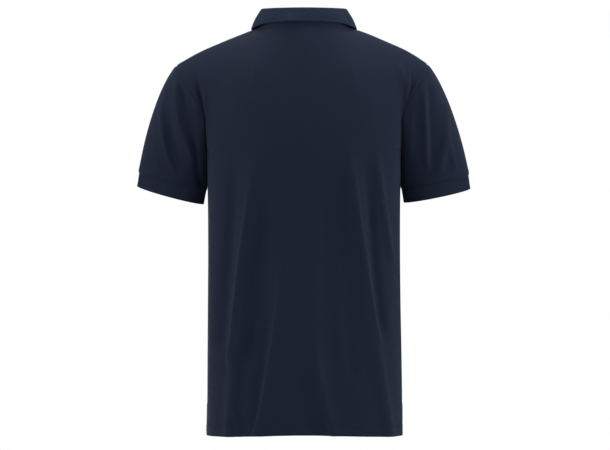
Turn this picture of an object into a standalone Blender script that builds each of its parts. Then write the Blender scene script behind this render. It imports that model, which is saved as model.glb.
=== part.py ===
"""Polo shirt: a short-sleeved pique shirt in its worn form, hollow, with no wearer.

Units are metres and +Z is up. The origin lies midway between the two high shoulder points.
The chest faces +Y and the back faces -Y, so the wearer's left is -X and the right is +X.
Every cloth piece is an open surface worked out from named sizes, thickened inwards.
"""

import math

import bmesh
import bpy
import numpy as np
from mathutils import Vector

# ---------------------------------------------------------------- driving sizes
CLOTH = 0.0015              # wall of the pique pieces
RIB_CLOTH = 0.0018          # wall of the collar and the cuffs
SEAM_GAP = 0.00035          # between neighbouring pieces

SECTION_POWER = 2.5         # squareness of the body's level sections
YOKE_POWER = 2.4            # squareness of the turn over the shoulder
NECK_YOKE_POWER = 1.1       # the panel rises nearly straight to the neck
NECK_YOKE_END = 0.16        # outwards of this share of the panel it starts to turn over
NECK_YOKE_BLEND = 0.32      # and it does so fully after this much more
STRAIGHT_CHEST = 0.3        # share of the yoke's height before it narrows to the shoulder
UNDERARM_Z = -0.215
DRAPE_FOOT_Z = -0.330       # the drape beside the armhole starts at this height
HEM_SIDE_Z = -0.7270        # hem at the side seams
HEM_RISE = 0.0060           # the hem is this much higher at centre back and front
VENT_HEIGHT = 0.058
VENT_SPREAD = 0.0035        # each edge of a vent stands this far from the side line
VENT_REACH = 16             # a high power: only the vent's own edge is spread

NECK_HALF_WIDTH = 0.082
NECK_BACK_Y = -0.076
NECK_FRONT_Y = 0.088
NECK_BACK_Z = 0.0085
NECK_SIDE_Z = 0.0050
NECK_FRONT_Z = -0.0720
NECK_FRONT_POWER = 2.2      # the neck seam drops late, towards centre front
SHOULDER_SEAM_Y = 0.006

ARMHOLE_HALF_DEPTH = 0.060  # half the armhole's size from front to back
ARMHOLE_WIDEST = 0.45       # share of its height where it is widest
ARMHOLE_POWER = 2.2         # squareness of its outline
ARMHOLE_REACH = 12          # a high power: the bow stays close to the armhole
DRAPE_REACH = 5             # and the drape beside it reaches further in
DRAPE_RISE = 1.3            # the drape is fullest above half its height
SLEEVE_START = 0.006        # gap at the armhole, as a share of the sleeve's length
SLEEVE_SPREAD = 0.90        # sideways run for each unit of drop where the sleeve starts
SLEEVE_INNER_SPREAD = 0.08  # the same along its inner edge
SLEEVE_END_SPREAD = 0.15    # and where it ends, at its outer edge
SLEEVE_SWELL = 0.35         # how far it swells behind and before as it starts
SLEEVE_PULL_INNER = 0.060   # stiffness of its curve along the inner edge
SLEEVE_PULL_OUTER = 0.180   # and along the outer edge, at the armhole
SLEEVE_END_PULL_OUTER = 0.100
SLEEVE_PULL_SIDE = 0.030    # more stiffness behind and before, at the armhole
SLEEVE_END_PULL_SIDE = 0.050
CUFF_LENGTH = 0.027
CUFF_HALF_DEPTH = 0.045
CUFF_BACK_SLOPE = 0.10      # the sleeve points forwards, so its back edge is lower
CUFF_FORWARD = 0.006        # its open end lies this far forwards
CUFF_INSET = 0.0012         # the rib draws the sleeve end in by this much

PLACKET_WIDTH = 0.034
PLACKET_LENGTH = 0.150
PLACKET_LAP = 0.001         # the over layer reaches this far past the cut-out
PLACKET_LIFT = 0.0026       # from the front's outer face to the over layer's
PLACKET_TOP_DROP = 0.002    # the over layer starts this far below the neck seam
BUTTON_DIAMETER = 0.0115
BUTTON_THICKNESS = 0.0024
BUTTON_DROPS = {"button_top": 0.017, "button_middle": 0.069, "button_bottom": 0.121}

# Level sections of the body: height, half width on each side, depth behind and before.
SECTION_COLUMNS = ("z", "left", "right", "back", "front")
BODY_SECTIONS = (
    (-0.730, 0.1745, 0.1768, 0.121, 0.126),
    (-0.640, 0.1738, 0.1763, 0.119, 0.126),
    (-0.570, 0.1735, 0.1752, 0.116, 0.125),
    (-0.490, 0.1730, 0.1737, 0.114, 0.124),
    (-0.400, 0.1724, 0.1728, 0.115, 0.125),
    (-0.320, 0.1728, 0.1729, 0.119, 0.128),
    (-0.215, 0.1743, 0.1743, 0.124, 0.130),
)

# Line of the shoulder seam seen from behind: distance from the centre line, then its
# height on each side.
SHOULDER_COLUMNS = ("x", "left", "right")
SHOULDER_LINE = (
    (0.0820, 0.0050, 0.0050),
    (0.1020, -0.0026, -0.0008),
    (0.1460, -0.0204, -0.0188),
    (0.1890, -0.0393, -0.0385),
    (0.2295, -0.0621, -0.0645),
)

# Shoulder point of each sleeve, then the outer and inner ends (distance from the centre
# line, height) of its open end and of its cuff seam, seen from behind.
SLEEVES = {
    "left": {
        "side": -1,
        "tip_x": 0.2295,
        "open_outer": (0.3006, -0.2800),
        "open_inner": (0.1805, -0.3123),
        "seam_outer": (0.2978, -0.2545),
        "seam_inner": (0.1762, -0.2862),
    },
    "right": {
        "side": 1,
        "tip_x": 0.2223,
        "open_outer": (0.2997, -0.2844),
        "open_inner": (0.1796, -0.3092),
        "seam_outer": (0.2972, -0.2585),
        "seam_inner": (0.1762, -0.2835),
    },
}

# Free edge of the collar from centre back (0) to its point (1), on one side. The first
# row mirrors the third, so that the edge runs smoothly through the centre line.
COLLAR_COLUMNS = ("along", "x", "y", "z", "stand", "belly")
COLLAR_EDGE = (
    (-0.125, -0.0330, -0.0748, 0.0114, 0.0300, 0.0010),
    (0.00, 0.0000, -0.0812, 0.0117, 0.0295, 0.0010),
    (0.125, 0.0330, -0.0748, 0.0114, 0.0300, 0.0010),
    (0.25, 0.0612, -0.0575, 0.0105, 0.0315, 0.0010),
    (0.50, 0.0935, -0.0080, 0.0036, 0.0340, 0.0015),
    (0.65, 0.0950, 0.0280, 0.0010, 0.0300, 0.0040),
    (0.78, 0.0940, 0.0680, -0.0170, 0.0230, 0.0060),
    (0.89, 0.0785, 0.1040, -0.0640, 0.0150, 0.0040),
    (1.00, 0.0500, 0.1190, -0.1180, 0.0090, 0.0015),
)
COLLAR_FOLD_RADIUS = 0.0027
COLLAR_END_X = 0.0015
COLLAR_LEAN = 0.22          # inward lean of the stand for each unit of height
COLLAR_FRONT_LEAN = 0.14

# Large folds, as soft ridges (+) and troughs (-): three points on the line of each,
# seen from behind, then its half width and its height. The columns are
# x0, z0, x1, z1, x2, z2, half_width, height.
BACK_FOLDS = (
    (-0.084, -0.205, -0.1055, -0.395, -0.134, -0.740, 0.014, 0.0075),
    (-0.066, -0.300, -0.072, -0.440, -0.092, -0.640, 0.018, -0.0050),
    (-0.036, -0.370, -0.047, -0.539, -0.080, -0.740, 0.012, 0.0050),
    (0.082, -0.215, 0.110, -0.460, 0.156, -0.740, 0.014, 0.0080),
    (0.044, -0.280, 0.043, -0.440, 0.058, -0.650, 0.020, -0.0060),
    (0.124, -0.200, 0.1405, -0.323, 0.162, -0.450, 0.010, 0.0040),
    (0.020, -0.520, 0.034, -0.640, 0.064, -0.740, 0.011, 0.0040),
)
FRONT_FOLDS = (
    (-0.098, -0.190, -0.112, -0.400, -0.135, -0.740, 0.017, 0.0070),
    (-0.060, -0.280, -0.066, -0.470, -0.078, -0.660, 0.020, -0.0050),
    (-0.020, -0.420, -0.028, -0.580, -0.052, -0.740, 0.014, 0.0040),
    (0.090, -0.210, 0.112, -0.420, 0.150, -0.740, 0.016, 0.0070),
    (0.054, -0.300, 0.058, -0.480, 0.066, -0.640, 0.020, -0.0050),
    (0.024, -0.470, 0.036, -0.620, 0.060, -0.740, 0.013, 0.0040),
)
SLEEVE_FOLDS = {
    "left": (
        (-0.229, -0.075, -0.231, -0.143, -0.195, -0.245, 0.011, 0.0050),
        (-0.258, -0.120, -0.255, -0.190, -0.235, -0.265, 0.011, 0.0040),
    ),
    "right": (
        (0.216, -0.080, 0.219, -0.161, 0.227, -0.262, 0.011, 0.0045),
        (0.257, -0.120, 0.259, -0.190, 0.250, -0.265, 0.011, 0.0035),
    ),
}
FOLD_FADE = 0.060           # a fold grows to its full height over this length

# Grids: how many steps each surface has. The first two are for half a panel.
NECK_STEPS = 9
SHOULDER_STEPS = 8
FRONT_NECK_STEPS = 7        # from the placket to the shoulder
BODY_ROWS = 15
YOKE_ROWS = 13
YOKE_CROWDING = 1.35        # the yoke's last rows are this much closer together
SLEEVE_ROWS = 8
CUFF_ROWS = 2
PLACKET_ROWS = 10
PLACKET_COLUMNS = 4

QUARTER = math.pi / 2
NECK_ANGLE = 0.48 * QUARTER  # columns inside this angle end at the neck
BACK = -1
FRONT = 1

MATERIALS = {
    "pique": {"color": (0.016, 0.026, 0.052, 1.0), "roughness": 0.85, "metallic": 0.0},
    "rib": {"color": (0.020, 0.033, 0.063, 1.0), "roughness": 0.80, "metallic": 0.0},
    "button": {"color": (0.012, 0.018, 0.034, 1.0), "roughness": 0.30, "metallic": 0.0},
}


# ---------------------------------------------------------------- small helpers
def ease(value):
    """Smooth step from 0 to 1."""
    value = min(max(value, 0.0), 1.0)
    return value * value * (3.0 - 2.0 * value)


def mix(start, end, share):
    return start + (end - start) * share


def column(table, names, name):
    index = names.index(name)
    return [row[index] for row in table]


def smooth_table(table, names, name, value):
    """Value of a named column on a smooth curve through the rows, by the first column."""
    keys = column(table, names, names[0])
    values = column(table, names, name)
    row = min(int(np.searchsorted(keys, value, side="right")) - 1, len(keys) - 2)
    slopes = []
    for place in (row, row + 1):
        low, high = max(place - 1, 0), min(place + 1, len(keys) - 1)
        slopes.append((values[high] - values[low]) / (keys[high] - keys[low]))
    step = keys[row + 1] - keys[row]
    share = (value - keys[row]) / step
    return hermite(values[row], values[row + 1], slopes[0] * step, slopes[1] * step, share)


def hermite(start, end, start_pull, end_pull, share):
    """Point on the cubic from start to end with the given tangents."""
    square, cube = share ** 2, share ** 3
    return (
        start * (2 * cube - 3 * square + 1)
        + start_pull * (cube - 2 * square + share)
        + end * (3 * square - 2 * cube)
        + end_pull * (cube - square)
    )


def fold_height(folds, x, z):
    """Sum of the folds at a place seen from behind."""
    total = 0.0
    for x0, z0, x1, z1, x2, z2, half_width, height in folds:
        if not z2 < z < z0:
            continue
        line_x = (
            x0 * (z - z1) * (z - z2) / ((z0 - z1) * (z0 - z2))
            + x1 * (z - z0) * (z - z2) / ((z1 - z0) * (z1 - z2))
            + x2 * (z - z0) * (z - z1) / ((z2 - z0) * (z2 - z1))
        )
        ends = ease((z0 - z) / FOLD_FADE)
        if z2 > HEM_SIDE_Z:
            ends *= ease((z - z2) / FOLD_FADE)
        total += height * ends * math.exp(-(((x - line_x) / half_width) ** 2))
    return total


# ---------------------------------------------------------------- the body's surface
def level_section(side, angle, z):
    """Point of the body's level section at a height, angle 0 at the centre line."""
    width_name = "left" if angle < 0 else "right"
    width = smooth_table(BODY_SECTIONS, SECTION_COLUMNS, width_name, z)
    depth_name = "back" if side == BACK else "front"
    depth = smooth_table(BODY_SECTIONS, SECTION_COLUMNS, depth_name, z)
    across = abs(math.sin(angle)) / width
    along = math.cos(angle) / depth
    radius = (across ** SECTION_POWER + along ** SECTION_POWER) ** (-1 / SECTION_POWER)
    return radius * math.sin(angle), side * radius * math.cos(angle)


def neck_ring(angle):
    """Point of the neck seam; angle 0 at centre back, pi at centre front."""
    forward = -math.cos(angle)
    x = NECK_HALF_WIDTH * math.sin(angle)
    if forward < 0:
        z = mix(NECK_SIDE_Z, NECK_BACK_Z, forward ** 2)
        return Vector((x, -NECK_BACK_Y * forward, z))
    front_z = mix(NECK_SIDE_Z, NECK_FRONT_Z, forward ** NECK_FRONT_POWER)
    return Vector((x, NECK_FRONT_Y * forward, front_z))


def tip_x(angle):
    return SLEEVES["left" if angle < 0 else "right"]["tip_x"]


def top_edge(side, angle):
    """Where a column of the panel ends: on the shoulder seam or on the neck seam."""
    if abs(angle) <= NECK_ANGLE:
        turn = angle / NECK_ANGLE * QUARTER
        return neck_ring(turn if side == BACK else math.pi - turn)
    share = (abs(angle) - NECK_ANGLE) / (QUARTER - NECK_ANGLE)
    x = mix(NECK_HALF_WIDTH, tip_x(angle), share)
    z = smooth_table(SHOULDER_LINE, SHOULDER_COLUMNS, "left" if angle < 0 else "right", x)
    y = mix(0.0, SHOULDER_SEAM_Y, ease(share * 4))
    return Vector((math.copysign(x, angle), y, z))


def armhole_bow(share):
    """How far the armhole has bowed out, 0 at its ends and 1 near its middle."""
    reach = ARMHOLE_WIDEST if share < ARMHOLE_WIDEST else 1.0 - ARMHOLE_WIDEST
    away = abs(share - ARMHOLE_WIDEST) / reach
    return (1.0 - away ** ARMHOLE_POWER) ** (1 / ARMHOLE_POWER)


def drape_bow(z, angle):
    """How far the cloth beside the armhole stands out, from below the underarm upwards."""
    share = (z - DRAPE_FOOT_Z) / (top_edge(BACK, angle).z - DRAPE_FOOT_Z)
    return math.sin(math.pi * min(share, 1.0) ** DRAPE_RISE)


def body_point(side, angle, level):
    """Outer surface of a panel: level 0 is the hem, 1 the underarm, 2 the top edge."""
    outwards = abs(angle) / QUARTER
    if level <= 1.0:
        hem = HEM_SIDE_Z + HEM_RISE * math.cos(angle) ** 2
        z = mix(hem, UNDERARM_Z, level)
        x, y = level_section(side, angle, z)
        opened = ease((HEM_SIDE_Z + VENT_HEIGHT - z) / VENT_HEIGHT)
        y += side * VENT_SPREAD * opened * outwards ** VENT_REACH
    else:
        share = level - 1.0
        chest_x, chest_y = level_section(side, angle, UNDERARM_Z)
        top = top_edge(side, angle)
        x = mix(chest_x, top.x, ease((share - STRAIGHT_CHEST) / (1 - STRAIGHT_CHEST)))
        z = mix(UNDERARM_Z, top.z, share)
        turned = ease((outwards - NECK_YOKE_END) / NECK_YOKE_BLEND)
        roundness = mix(NECK_YOKE_POWER, YOKE_POWER, turned)
        y = mix(top.y, chest_y, (1.0 - share ** YOKE_POWER) ** (1 / roundness))
        y += side * ARMHOLE_HALF_DEPTH * armhole_bow(share) * outwards ** ARMHOLE_REACH
    if z > DRAPE_FOOT_Z:
        beside = outwards ** DRAPE_REACH - outwards ** ARMHOLE_REACH
        y += side * ARMHOLE_HALF_DEPTH * drape_bow(z, angle) * beside
    folds = BACK_FOLDS if side == BACK else FRONT_FOLDS
    y += side * fold_height(folds, x, z) * math.cos(angle) ** 0.5
    return Vector((x, y + side * SEAM_GAP / 2, z))


def yoke_level(row):
    """Levels from underarm to top edge, closer together at both ends."""
    left = 0.5 * (1.0 + math.cos(math.pi * row / YOKE_ROWS))
    return 2.0 - left ** YOKE_CROWDING


def panel_levels():
    levels = [row / BODY_ROWS for row in range(BODY_ROWS)]
    return levels + [yoke_level(row) for row in range(YOKE_ROWS + 1)]


# ---------------------------------------------------------------- making objects
def make_material(name):
    values = MATERIALS[name]
    material = bpy.data.materials.new(name)
    material.use_nodes = True
    shader = material.node_tree.nodes["Principled BSDF"]
    shader.inputs["Base Color"].default_value = values["color"]
    shader.inputs["Roughness"].default_value = values["roughness"]
    shader.inputs["Metallic"].default_value = values["metallic"]
    material.diffuse_color = values["color"]
    return material


def surface_object(name, grid, collection, material, wall, ring=False, left_out=()):
    """Cloth piece from rows of points, thickened to the side away from its faces."""
    across = len(grid[0])
    points = [tuple(point) for row in grid for point in row]
    faces = []
    for row in range(len(grid) - 1):
        for step in range(across if ring else across - 1):
            if (row, step) in left_out:
                continue
            following = (step + 1) % across
            faces.append(
                (
                    row * across + step,
                    row * across + following,
                    (row + 1) * across + following,
                    (row + 1) * across + step,
                )
            )
    mesh = bpy.data.meshes.new(name)
    mesh.from_pydata(points, [], faces)
    shape = bmesh.new()
    shape.from_mesh(mesh)
    loose = [vertex for vertex in shape.verts if not vertex.link_faces]
    bmesh.ops.delete(shape, geom=loose, context="VERTS")
    shape.to_mesh(mesh)
    shape.free()
    mesh.shade_smooth()
    mesh.materials.append(material)
    piece = bpy.data.objects.new(name, mesh)
    collection.objects.link(piece)
    thicken = piece.modifiers.new("wall", "SOLIDIFY")
    thicken.thickness = wall
    thicken.offset = -1.0
    return piece


# ---------------------------------------------------------------- pieces
def half_panel_angles(first, neck_steps):
    """Column angles from the first one to the side, with one at the neck's side point."""
    inner = [mix(first, NECK_ANGLE, step / neck_steps) for step in range(neck_steps)]
    steps = range(SHOULDER_STEPS + 1)
    return inner + [mix(NECK_ANGLE, QUARTER, step / SHOULDER_STEPS) for step in steps]


def make_back(collection, material):
    half = half_panel_angles(0.0, NECK_STEPS)
    angles = [-angle for angle in reversed(half[1:])] + half
    grid = [[body_point(BACK, angle, level) for angle in angles] for level in panel_levels()]
    surface_object("back", grid, collection, material, CLOTH)


def angle_at_x(level, x):
    """Column angle at which the front panel has this distance from the centre line."""
    low, high = 0.0, QUARTER
    for _ in range(40):
        middle = (low + high) / 2
        if body_point(FRONT, middle, level).x < x:
            low = middle
        else:
            high = middle
    return math.copysign(low, x)


def placket_bottom_level():
    """Level whose centre point is at the foot of the placket."""
    return (NECK_FRONT_Z - PLACKET_LENGTH - HEM_SIDE_Z - HEM_RISE) / (
        UNDERARM_Z - HEM_SIDE_Z - HEM_RISE
    )


def front_levels():
    """Panel levels, with one of them moved to the foot of the placket."""
    levels = panel_levels()
    foot = placket_bottom_level()
    nearest = min(range(1, BODY_ROWS), key=lambda row: abs(levels[row] - foot))
    levels[nearest] = foot
    return levels, nearest


def make_front(collection, material):
    levels, foot_row = front_levels()
    edge_x = PLACKET_WIDTH / 2 + SEAM_GAP
    grid = []
    for level in levels:
        half = half_panel_angles(angle_at_x(level, edge_x), FRONT_NECK_STEPS)
        angles = [-angle for angle in reversed(half)] + half
        grid.append([body_point(FRONT, angle, level) for angle in reversed(angles)])
    centre = len(half) - 1
    cut_out = {(row, centre) for row in range(foot_row, len(levels) - 1)}
    surface_object("front", grid, collection, material, CLOTH, left_out=cut_out)


def placket_grid(half_width, top_drop, bottom_drop, lift):
    """Rows of points on the front's surface, moved out by lift."""
    grid = []
    foot = placket_bottom_level()
    for row in range(PLACKET_ROWS + 1):
        points = []
        for step in range(PLACKET_COLUMNS + 1):
            x = mix(half_width, -half_width, step / PLACKET_COLUMNS)
            z_top = front_surface_top(x) - top_drop
            z_foot = NECK_FRONT_Z - PLACKET_LENGTH + bottom_drop
            z = mix(z_foot, z_top, row / PLACKET_ROWS)
            points.append(front_surface(x, z) + Vector((0, lift, 0)))
        grid.append(points)
    return grid


def front_surface_top(x):
    turn = math.asin(x / NECK_HALF_WIDTH)
    return neck_ring(math.pi - turn).z


def front_surface(x, z):
    """Point of the front panel's outer surface near the centre line."""
    low, high = 0.5, 2.0
    for _ in range(40):
        middle = (low + high) / 2
        angle = angle_at_x(middle, abs(x)) if x else 0.0
        if body_point(FRONT, angle, middle).z < z:
            low = middle
        else:
            high = middle
    angle = angle_at_x(low, abs(x)) if x else 0.0
    found = body_point(FRONT, angle, low)
    return Vector((x, found.y, z))


def make_placket(collection, material):
    under = placket_grid(PLACKET_WIDTH / 2, 0.0, SEAM_GAP, 0.0)
    surface_object("placket_under", under, collection, material, CLOTH)
    over_half_width = PLACKET_WIDTH / 2 + PLACKET_LAP
    over = placket_grid(over_half_width, PLACKET_TOP_DROP, -PLACKET_LAP, PLACKET_LIFT)
    surface_object("placket_over", over, collection, material, CLOTH)


def make_buttons(collection, material):
    for name, drop in BUTTON_DROPS.items():
        z = NECK_FRONT_Z - drop
        seat = front_surface(0.0, z)
        reach = BUTTON_DIAMETER / 2
        slope = front_surface(0.0, z + reach) - front_surface(0.0, z - reach)
        normal = slope.cross(Vector((1, 0, 0))).normalized()
        lift = PLACKET_LIFT + SEAM_GAP + BUTTON_THICKNESS / 2
        mesh = bpy.data.meshes.new(name)
        shape = bmesh.new()
        bmesh.ops.create_cone(
            shape,
            cap_ends=True,
            segments=24,
            radius1=reach,
            radius2=reach,
            depth=BUTTON_THICKNESS,
        )
        shape.to_mesh(mesh)
        shape.free()
        mesh.shade_smooth()
        mesh.set_sharp_from_angle(angle=math.radians(40))
        mesh.materials.append(material)
        button = bpy.data.objects.new(name, mesh)
        button.location = seat + normal * lift
        button.rotation_euler = normal.to_track_quat("Z", "Y").to_euler()
        collection.objects.link(button)
        rounding = button.modifiers.new("edge", "BEVEL")
        rounding.width = BUTTON_THICKNESS / 4
        rounding.segments = 2


def armhole_ring(name):
    """Armhole points of one side: down the back from the shoulder, up the front."""
    angle = SLEEVES[name]["side"] * QUARTER
    levels = [yoke_level(row) for row in range(YOKE_ROWS, -1, -1)]
    behind = [body_point(BACK, angle, level) for level in levels]
    before = [body_point(FRONT, angle, level) for level in reversed(levels)]
    shared_foot = (behind[-1] + before[0]) / 2
    shared_top = (behind[0] + before[-1]) / 2
    return [shared_top] + behind[1:-1] + [shared_foot] + before[1:-1]


def sleeve_ring(name, seam_share, inset, count):
    """Ring of points around the sleeve's end: 0 at the open end, 1 at the cuff seam."""
    values = SLEEVES[name]
    side = values["side"]
    ends = []
    for place in ("outer", "inner"):
        low = Vector((side * values["open_" + place][0], 0, values["open_" + place][1]))
        high = Vector((side * values["seam_" + place][0], 0, values["seam_" + place][1]))
        ends.append(mix(low, high, seam_share))
    outer, inner = ends
    outward = (outer - inner).normalized()
    half_width = (outer - inner).length / 2 - inset
    backward = Vector((0, -1, -CUFF_BACK_SLOPE)).normalized() * (CUFF_HALF_DEPTH - inset)
    centre = (outer + inner) / 2 + Vector((0, mix(CUFF_FORWARD, CUFF_FORWARD / 2, seam_share), 0))
    ring = []
    for step in range(count):
        turn = 2 * math.pi * step / count
        ring.append(centre + outward * half_width * math.cos(turn) + backward * math.sin(turn))
    return ring


def sleeve_point(name, start, end, turn, share):
    """Point between the armhole and the cuff seam; turn 0 at the outer edge."""
    side = SLEEVES[name]["side"]
    high = (1 + math.cos(turn)) / 2
    spread = mix(SLEEVE_INNER_SPREAD, SLEEVE_SPREAD, high)
    leave = Vector((side * spread, -SLEEVE_SWELL * math.sin(turn), -1.0))
    arrive = Vector((side * SLEEVE_END_SPREAD * high, 0.0, -1.0))
    side_on = math.sin(turn) ** 2
    start_length = mix(SLEEVE_PULL_INNER, SLEEVE_PULL_OUTER, high) + SLEEVE_PULL_SIDE * side_on
    end_length = mix(SLEEVE_PULL_INNER, SLEEVE_END_PULL_OUTER, high)
    end_length += SLEEVE_END_PULL_SIDE * side_on
    start_pull = leave.normalized() * start_length
    end_pull = arrive.normalized() * end_length
    point = hermite(start, end, start_pull, end_pull, share)
    facing = (abs(math.sin(turn)) * math.sin(math.pi * share)) ** 0.5
    forwards = -math.copysign(1, math.sin(turn))
    point.y += fold_height(SLEEVE_FOLDS[name], point.x, point.z) * facing * forwards
    return point


def make_sleeve(name, collection, material):
    starts = armhole_ring(name)
    count = len(starts)
    ends = sleeve_ring(name, 1.0 + SEAM_GAP / CUFF_LENGTH, 0.0, count)
    grid = []
    for row in range(SLEEVE_ROWS + 1):
        share = mix(SLEEVE_START, 1.0, row / SLEEVE_ROWS)
        ring = [
            sleeve_point(name, starts[step], ends[step], 2 * math.pi * step / count, share)
            for step in range(count)
        ]
        grid.append(ring if SLEEVES[name]["side"] > 0 else ring[::-1])
    surface_object("sleeve_" + name, grid, collection, material, CLOTH, ring=True)


def make_cuff(name, collection, material):
    count = 2 * YOKE_ROWS
    grid = []
    for row in range(CUFF_ROWS + 1):
        share = row / CUFF_ROWS
        ring = sleeve_ring(name, 1 - share, CUFF_INSET * (1 - share), count)
        grid.append(ring if SLEEVES[name]["side"] > 0 else ring[::-1])
    surface_object("cuff_" + name, grid, collection, material, RIB_CLOTH, ring=True)


def neck_turns():
    """Angles along half the neck seam, at the panels' columns and at the collar's end."""
    turns = [QUARTER * step / NECK_STEPS for step in range(NECK_STEPS)]
    edge = angle_at_x(2.0, PLACKET_WIDTH / 2 + SEAM_GAP)
    for step in range(FRONT_NECK_STEPS, -1, -1):
        column_angle = mix(edge, NECK_ANGLE, step / FRONT_NECK_STEPS)
        turns.append(math.pi - column_angle / NECK_ANGLE * QUARTER)
    for x in (PLACKET_WIDTH / 4, COLLAR_END_X):
        turns.append(math.pi - math.asin(x / NECK_HALF_WIDTH))
    return turns


def collar_section(angle):
    """Points across the collar at an angle along the neck seam, 0 at centre back."""
    share = abs(angle) / math.pi
    depth = -NECK_BACK_Y if abs(angle) < QUARTER else NECK_FRONT_Y
    outward = Vector((math.sin(angle) / NECK_HALF_WIDTH, -math.cos(angle) / depth, 0)).normalized()
    off_panel = (Vector((0, 0, 1)) - outward / 2).normalized()
    seam = neck_ring(angle) + off_panel * SEAM_GAP - outward * RIB_CLOTH
    edge = Vector(
        (
            math.copysign(smooth_table(COLLAR_EDGE, COLLAR_COLUMNS, "x", share), angle),
            smooth_table(COLLAR_EDGE, COLLAR_COLUMNS, "y", share),
            smooth_table(COLLAR_EDGE, COLLAR_COLUMNS, "z", share),
        )
    )
    stand = smooth_table(COLLAR_EDGE, COLLAR_COLUMNS, "stand", share)
    lean = mix(COLLAR_LEAN, COLLAR_FRONT_LEAN, ease(share * 4 - 2))
    up = (Vector((0, 0, 1)) - outward * lean).normalized()
    top = seam + up * (stand - COLLAR_FOLD_RADIUS)
    middle = top + outward * COLLAR_FOLD_RADIUS
    points = [seam, mix(seam, top, 0.5), top]
    for turn in (45, 90, 135):
        bend = math.radians(turn)
        radial = up * math.sin(bend) - outward * math.cos(bend)
        points.append(middle + radial * COLLAR_FOLD_RADIUS)
    start = middle + outward * COLLAR_FOLD_RADIUS
    points.append(start)
    belly = smooth_table(COLLAR_EDGE, COLLAR_COLUMNS, "belly", share)
    for fall_share in (1 / 3, 2 / 3):
        swell = (outward + up) * belly * math.sin(math.pi * fall_share)
        points.append(mix(start, edge, fall_share) + swell)
    points.append(edge)
    return points


def make_collar(collection, material):
    half = neck_turns()
    angles = [-angle for angle in reversed(half[1:])] + half
    grid = [collar_section(angle) for angle in angles]
    surface_object("collar", grid, collection, material, RIB_CLOTH)


# ---------------------------------------------------------------- the shirt
def clear_scene():
    for item in list(bpy.data.objects):
        bpy.data.objects.remove(item, do_unlink=True)


def main():
    clear_scene()
    collection = bpy.data.collections.new("polo_shirt")
    bpy.context.scene.collection.children.link(collection)
    pique = make_material("pique")
    rib = make_material("rib")
    shell = make_material("button")
    make_back(collection, pique)
    make_front(collection, pique)
    make_placket(collection, pique)
    make_buttons(collection, shell)
    for name in SLEEVES:
        make_sleeve(name, collection, pique)
        make_cuff(name, collection, rib)
    make_collar(collection, rib)


main()
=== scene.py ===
"""Looks of the polo shirt: fine cloth shells, rib knit, stitching, materials, studio.

Metres, +Z up. The chest faces +Y and the back, which the photograph shows, faces -Y.
"""

import math

import bmesh
import bpy
import numpy as np
from mathutils import Matrix, Vector


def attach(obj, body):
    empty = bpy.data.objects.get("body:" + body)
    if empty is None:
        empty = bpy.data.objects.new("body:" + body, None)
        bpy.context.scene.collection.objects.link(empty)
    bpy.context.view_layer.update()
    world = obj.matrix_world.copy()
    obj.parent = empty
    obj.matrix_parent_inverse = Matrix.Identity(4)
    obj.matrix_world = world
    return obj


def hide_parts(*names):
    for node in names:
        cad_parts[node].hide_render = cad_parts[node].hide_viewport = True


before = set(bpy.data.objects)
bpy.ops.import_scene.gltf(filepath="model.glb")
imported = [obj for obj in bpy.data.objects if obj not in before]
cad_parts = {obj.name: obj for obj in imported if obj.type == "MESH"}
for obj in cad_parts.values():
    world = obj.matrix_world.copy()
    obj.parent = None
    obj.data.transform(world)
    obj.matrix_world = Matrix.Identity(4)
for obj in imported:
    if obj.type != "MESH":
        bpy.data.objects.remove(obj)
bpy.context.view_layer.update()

# ---------------- sizes of the shirt
CLOTH = 0.0015              # wall of the pique pieces
RIB_CLOTH = 0.0018          # wall of the collar and the cuffs
SEAM_GAP = 0.00035          # between neighbouring pieces
SEAM_OVERLAP = 0.00005      # back and front reach this far past the seams between them

SECTION_POWER = 2.5         # squareness of the body's level sections
YOKE_POWER = 2.4            # squareness of the turn over the shoulder
NECK_YOKE_POWER = 1.1       # the panel rises nearly straight to the neck
NECK_YOKE_END = 0.16        # outwards of this share of the panel it starts to turn over
NECK_YOKE_BLEND = 0.32      # and it does so fully after this much more
STRAIGHT_CHEST = 0.3        # share of the yoke's height before it narrows to the shoulder
UNDERARM_Z = -0.215
DRAPE_FOOT_Z = -0.330       # the drape beside the armhole starts at this height
HEM_SIDE_Z = -0.7270        # hem at the side seams
HEM_RISE = 0.0060           # the hem is this much higher at centre back and front
VENT_HEIGHT = 0.058
VENT_SPREAD = 0.0035        # each edge of a vent stands this far from the side line
VENT_REACH = 16             # a high power: only the vent's own edge is spread

NECK_HALF_WIDTH = 0.082
NECK_BACK_Y = -0.076
NECK_FRONT_Y = 0.088
NECK_BACK_Z = 0.0085
NECK_SIDE_Z = 0.0050
NECK_FRONT_Z = -0.0720
NECK_FRONT_POWER = 2.2      # the neck seam drops late, towards centre front
SHOULDER_SEAM_Y = 0.006

ARMHOLE_HALF_DEPTH = 0.060  # half the armhole's size from front to back
ARMHOLE_WIDEST = 0.45       # share of its height where it is widest
ARMHOLE_POWER = 2.2         # squareness of its outline
ARMHOLE_REACH = 12          # a high power: the bow stays close to the armhole
DRAPE_REACH = 5             # and the drape beside it reaches further in
DRAPE_RISE = 1.3            # the drape is fullest above half its height
SLEEVE_START = 0.006        # gap at the armhole, as a share of the sleeve's length
SLEEVE_SPREAD = 0.90        # sideways run for each unit of drop where the sleeve starts
SLEEVE_INNER_SPREAD = 0.08  # the same along its inner edge
SLEEVE_END_SPREAD = 0.15    # and where it ends, at its outer edge
SLEEVE_SWELL = 0.35         # how far it swells behind and before as it starts
SLEEVE_PULL_INNER = 0.060   # stiffness of its curve along the inner edge
SLEEVE_PULL_OUTER = 0.180   # and along the outer edge, at the armhole
SLEEVE_END_PULL_OUTER = 0.100
SLEEVE_PULL_SIDE = 0.030    # more stiffness behind and before, at the armhole
SLEEVE_END_PULL_SIDE = 0.050
CUFF_LENGTH = 0.027
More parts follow.
